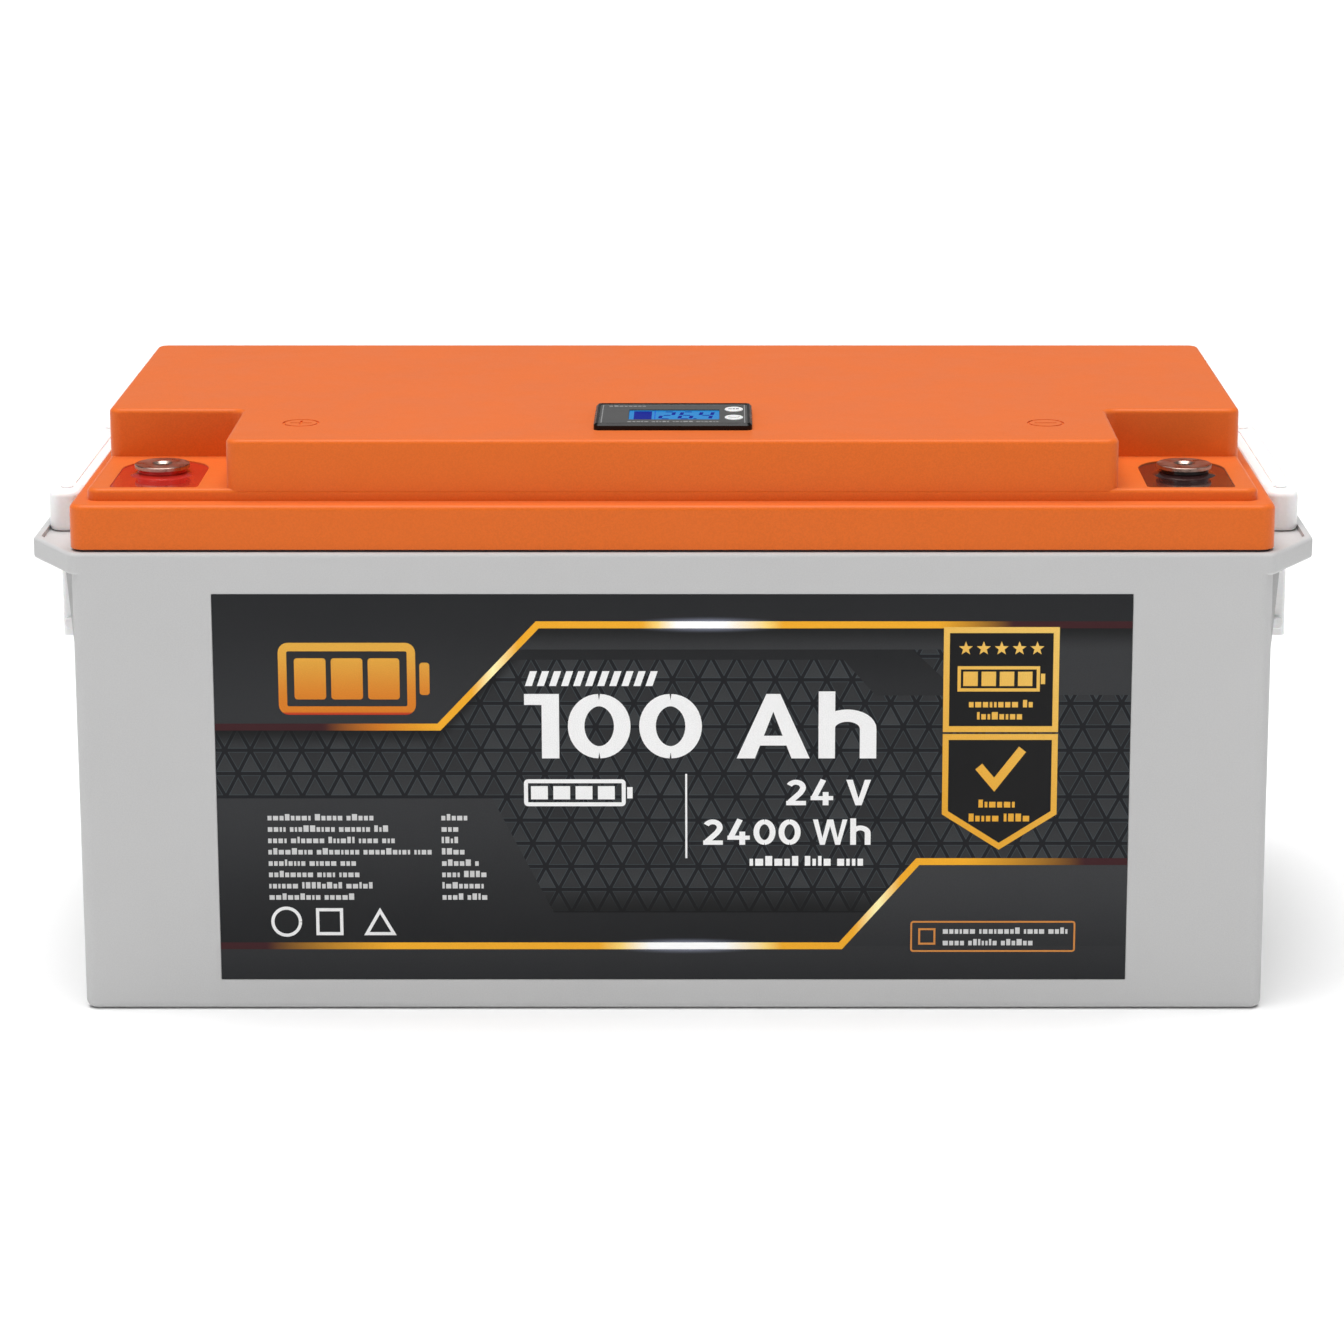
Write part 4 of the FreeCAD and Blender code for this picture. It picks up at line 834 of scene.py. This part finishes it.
def battery():
    paint("lid", moulded("lid_orange", ORANGE, 0.42, 0.05, 0.7, 0.015, 0.2, 0.0, 0.12))
    paint("container", moulded("case_grey", GREY, 0.55, 0.03, 0.6, 0.015))
    handles = moulded("handle_white", WHITE, 0.42, 0.02, 1.2, 0.02, 0.25, 0.1)
    paint_all(["handle_left", "handle_right", "stop_pins_left", "stop_pins_right"], handles)
    # The seal is a real part, and its near-black colour also paints the shade in the gap under the
    # lid's skirt
    paint("lid_seal", moulded("seal_dark", rgb(40, 40, 42), 0.7, 0.05, 0.5, 0.02))
    label()

    paint("potting_positive", resin("potting_red", rgb(188, 44, 34), 0.6))
    paint("potting_negative", resin("potting_dark", rgb(52, 32, 32), 0.8))
    paint("collar_positive", resin("collar_red", rgb(206, 32, 26), 1.0))
    paint("collar_negative", resin("collar_black", rgb(22, 20, 22), 1.0))
    for name in ("positive", "negative"):
        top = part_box("terminal_" + name)[1][2] / MM
        low, high = (Vector(c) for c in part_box("collar_" + name))
        centre = (low + high) / 2
        disc = turned_metal("terminal_metal_" + name, rgb(186, 160, 148), centre.x, centre.y)
        paint("terminal_" + name, disc)
        terminal_threads("terminal_thread_" + name, centre, top - THREAD_DEPTH, top - THREAD_START)

    paint("meter_bezel", moulded("bezel_black", rgb(10, 10, 11), 0.28, 0.08, 0.5, 0.004, 0.2))
    paint("meter_back_cover", moulded("cover_black", rgb(24, 24, 25), 0.45, 0.08, 0.5, 0.01))
    paint("meter_faceplate", moulded("face_grey", rgb(80, 80, 80), 0.5, 0.06, 0.4, 0.01, 0.15))
    paint("meter_lcd", display_glass())
    buttons = moulded("button_white", rgb(232, 232, 232), 0.35, 0.02, 0.8, 0.01, 0.4, 0.05)
    paint_all(BUTTONS, buttons)
    meter_details()
    inside()


def inside():
    """The cells and electronics that the case hides."""
    cells = [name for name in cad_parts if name.startswith("cell_") and name[5:].isdigit()]
    paint_all(cells, wrapped_cell("cell_film"))
    sheet = moulded("insulator_sheet", rgb(226, 214, 178), 0.6, 0.05, 2.0, 0.03)
    paint_all(["cell_spacers", "end_plate_left", "end_plate_right", "cell_tray"], sheet)
    paint_all(["base_pad", "side_pads", "end_pads"], foam("closed_cell_foam"))
    paint("compression_bands", metal("band_steel", rgb(190, 190, 192), 0.35, (1, 1, 0.1)))
    paint("busbars", metal("busbar_nickel", rgb(220, 218, 210), 0.3, (0.1, 1, 1)))
    zinc = metal("fastener_zinc", rgb(200, 200, 204), 0.32)
    paint_all(["busbar_nuts", "lug_bolts", "management_screws"], zinc)
    paint("management_heat_sink", metal("sink_aluminium", rgb(210, 211, 213), 0.4, (0.1, 1, 1)))
    paint_all(["management_board", "meter_board"], circuit_board("board_green"))
    cream = moulded("connector_cream", rgb(236, 230, 212), 0.45, 0.03, 1.0, 0.01)
    paint("management_connectors", cream)
    black = moulded("component_black", rgb(28, 28, 29), 0.5, 0.1, 0.4, 0.01)
    paint_all(["power_transistors", "meter_switches", "temperature_sensor"], black)
    paint("positive_lead", moulded("lead_red", rgb(190, 24, 22), 0.5, 0.05, 1.0, 0.02))
    leads = moulded("lead_black", rgb(26, 26, 27), 0.5, 0.08, 1.0, 0.02)
    paint_all(["negative_lead", "pack_negative_lead", "balance_harness", "meter_cable"], leads)


# ---- studio -------------------------------------------------------------------------------------
FLOOR_HALF = 30.0
FLOOR_TONES = (0.92, 0.92, 0.92, 1), (0.94, 0.94, 0.94, 1)


def floor():
    g = Graph("floor_white")
    g.surface(Base_Color=g.mix(g.noise(0.5), *FLOOR_TONES), Roughness=0.8)
    g.shader.inputs["Specular IOR Level"].default_value = 0.1
    mesh = bpy.data.meshes.new("floor")
    corners = rectangle(-FLOOR_HALF, FLOOR_HALF, -FLOOR_HALF, FLOOR_HALF)
    mesh.from_pydata([(x, y, 0) for x, y in corners], [], [[0, 1, 2, 3]])
    mesh.materials.append(g.material)
    made = bpy.data.objects.new("floor", mesh)
    bpy.context.collection.objects.link(made)


SOFTBOX_SIZE = (0.9, 1.0)
SOFTBOX_AIM = (0.0, 0.0, 0.12)


def softbox(name, place, power):
    data = bpy.data.lights.new(name, "AREA")
    data.shape = "RECTANGLE"
    data.size, data.size_y = SOFTBOX_SIZE
    data.energy = power
    made = bpy.data.objects.new(name, data)
    made.location = place
    made.rotation_euler = (Vector(SOFTBOX_AIM) - Vector(place)).to_track_quat("-Z", "Y").to_euler()
    bpy.context.collection.objects.link(made)


# How high up the sky, from the horizon at 0 to overhead at 1, and how bright it is there
SKY_STOPS = ((0.0, 0.5), (0.1, 0.5), (0.22, 0.12), (0.75, 0.12), (1.0, 0.5))


def sky():
    """A pale studio: bright at the horizon and overhead, and dim between them."""
    world = bpy.data.worlds.new("studio")
    bpy.context.scene.world = world
    world.use_nodes = True
    tree = world.node_tree
    coordinate = tree.nodes.new("ShaderNodeTexCoord")
    parts = tree.nodes.new("ShaderNodeSeparateXYZ")
    ramp = tree.nodes.new("ShaderNodeValToRGB")
    points = ramp.color_ramp.elements
    for index, (position, level) in enumerate(SKY_STOPS):
        point = points[index] if index < 2 else points.new(position)
        point.position = position
        point.color = (level, level, level, 1.0)
    tree.links.new(coordinate.outputs["Generated"], parts.inputs[0])
    tree.links.new(parts.outputs[2], ramp.inputs[0])
    tree.links.new(ramp.outputs[0], tree.nodes["Background"].inputs[0])


def studio():
    sky()
    overhead = bpy.data.lights.new("overhead", "SUN")
    overhead.energy = 3.25
    overhead.angle = math.radians(48.0)
    made = bpy.data.objects.new("overhead", overhead)
    made.rotation_euler = (math.radians(2.0), math.radians(-3.0), 0.0)
    bpy.context.collection.objects.link(made)
    softbox("left_softbox", (-1.2, -1.1, 1.1), 4.0)
    softbox("right_softbox", (1.25, -1.1, 1.1), 3.0)
    bpy.context.scene.view_settings.view_transform = "Standard"


CAMERA_PLACE = (0.020, -1.684, 0.5505)
CAMERA_DOWN = 12.47          # degrees below level
CAMERA_SHIFT = (-0.0375, -0.113)


def camera():
    data = bpy.data.cameras.new("camera")
    data.sensor_width = 36.0
    data.lens = 108.0
    data.shift_x, data.shift_y = CAMERA_SHIFT
    data.clip_end = 100.0
    made = bpy.data.objects.new("camera", data)
    made.location = CAMERA_PLACE
    made.rotation_euler = (math.radians(90.0 - CAMERA_DOWN), 0.0, 0.0)
    bpy.context.collection.objects.link(made)
    bpy.context.scene.camera = made


# The thread's metal is darker than the terminal disc's: painted shade deep inside the hole
HOLE_SHADED_METAL = metal("thread_painted_shade_metal", rgb(120, 100, 90), 0.4)
camera()
battery()
floor()
studio()
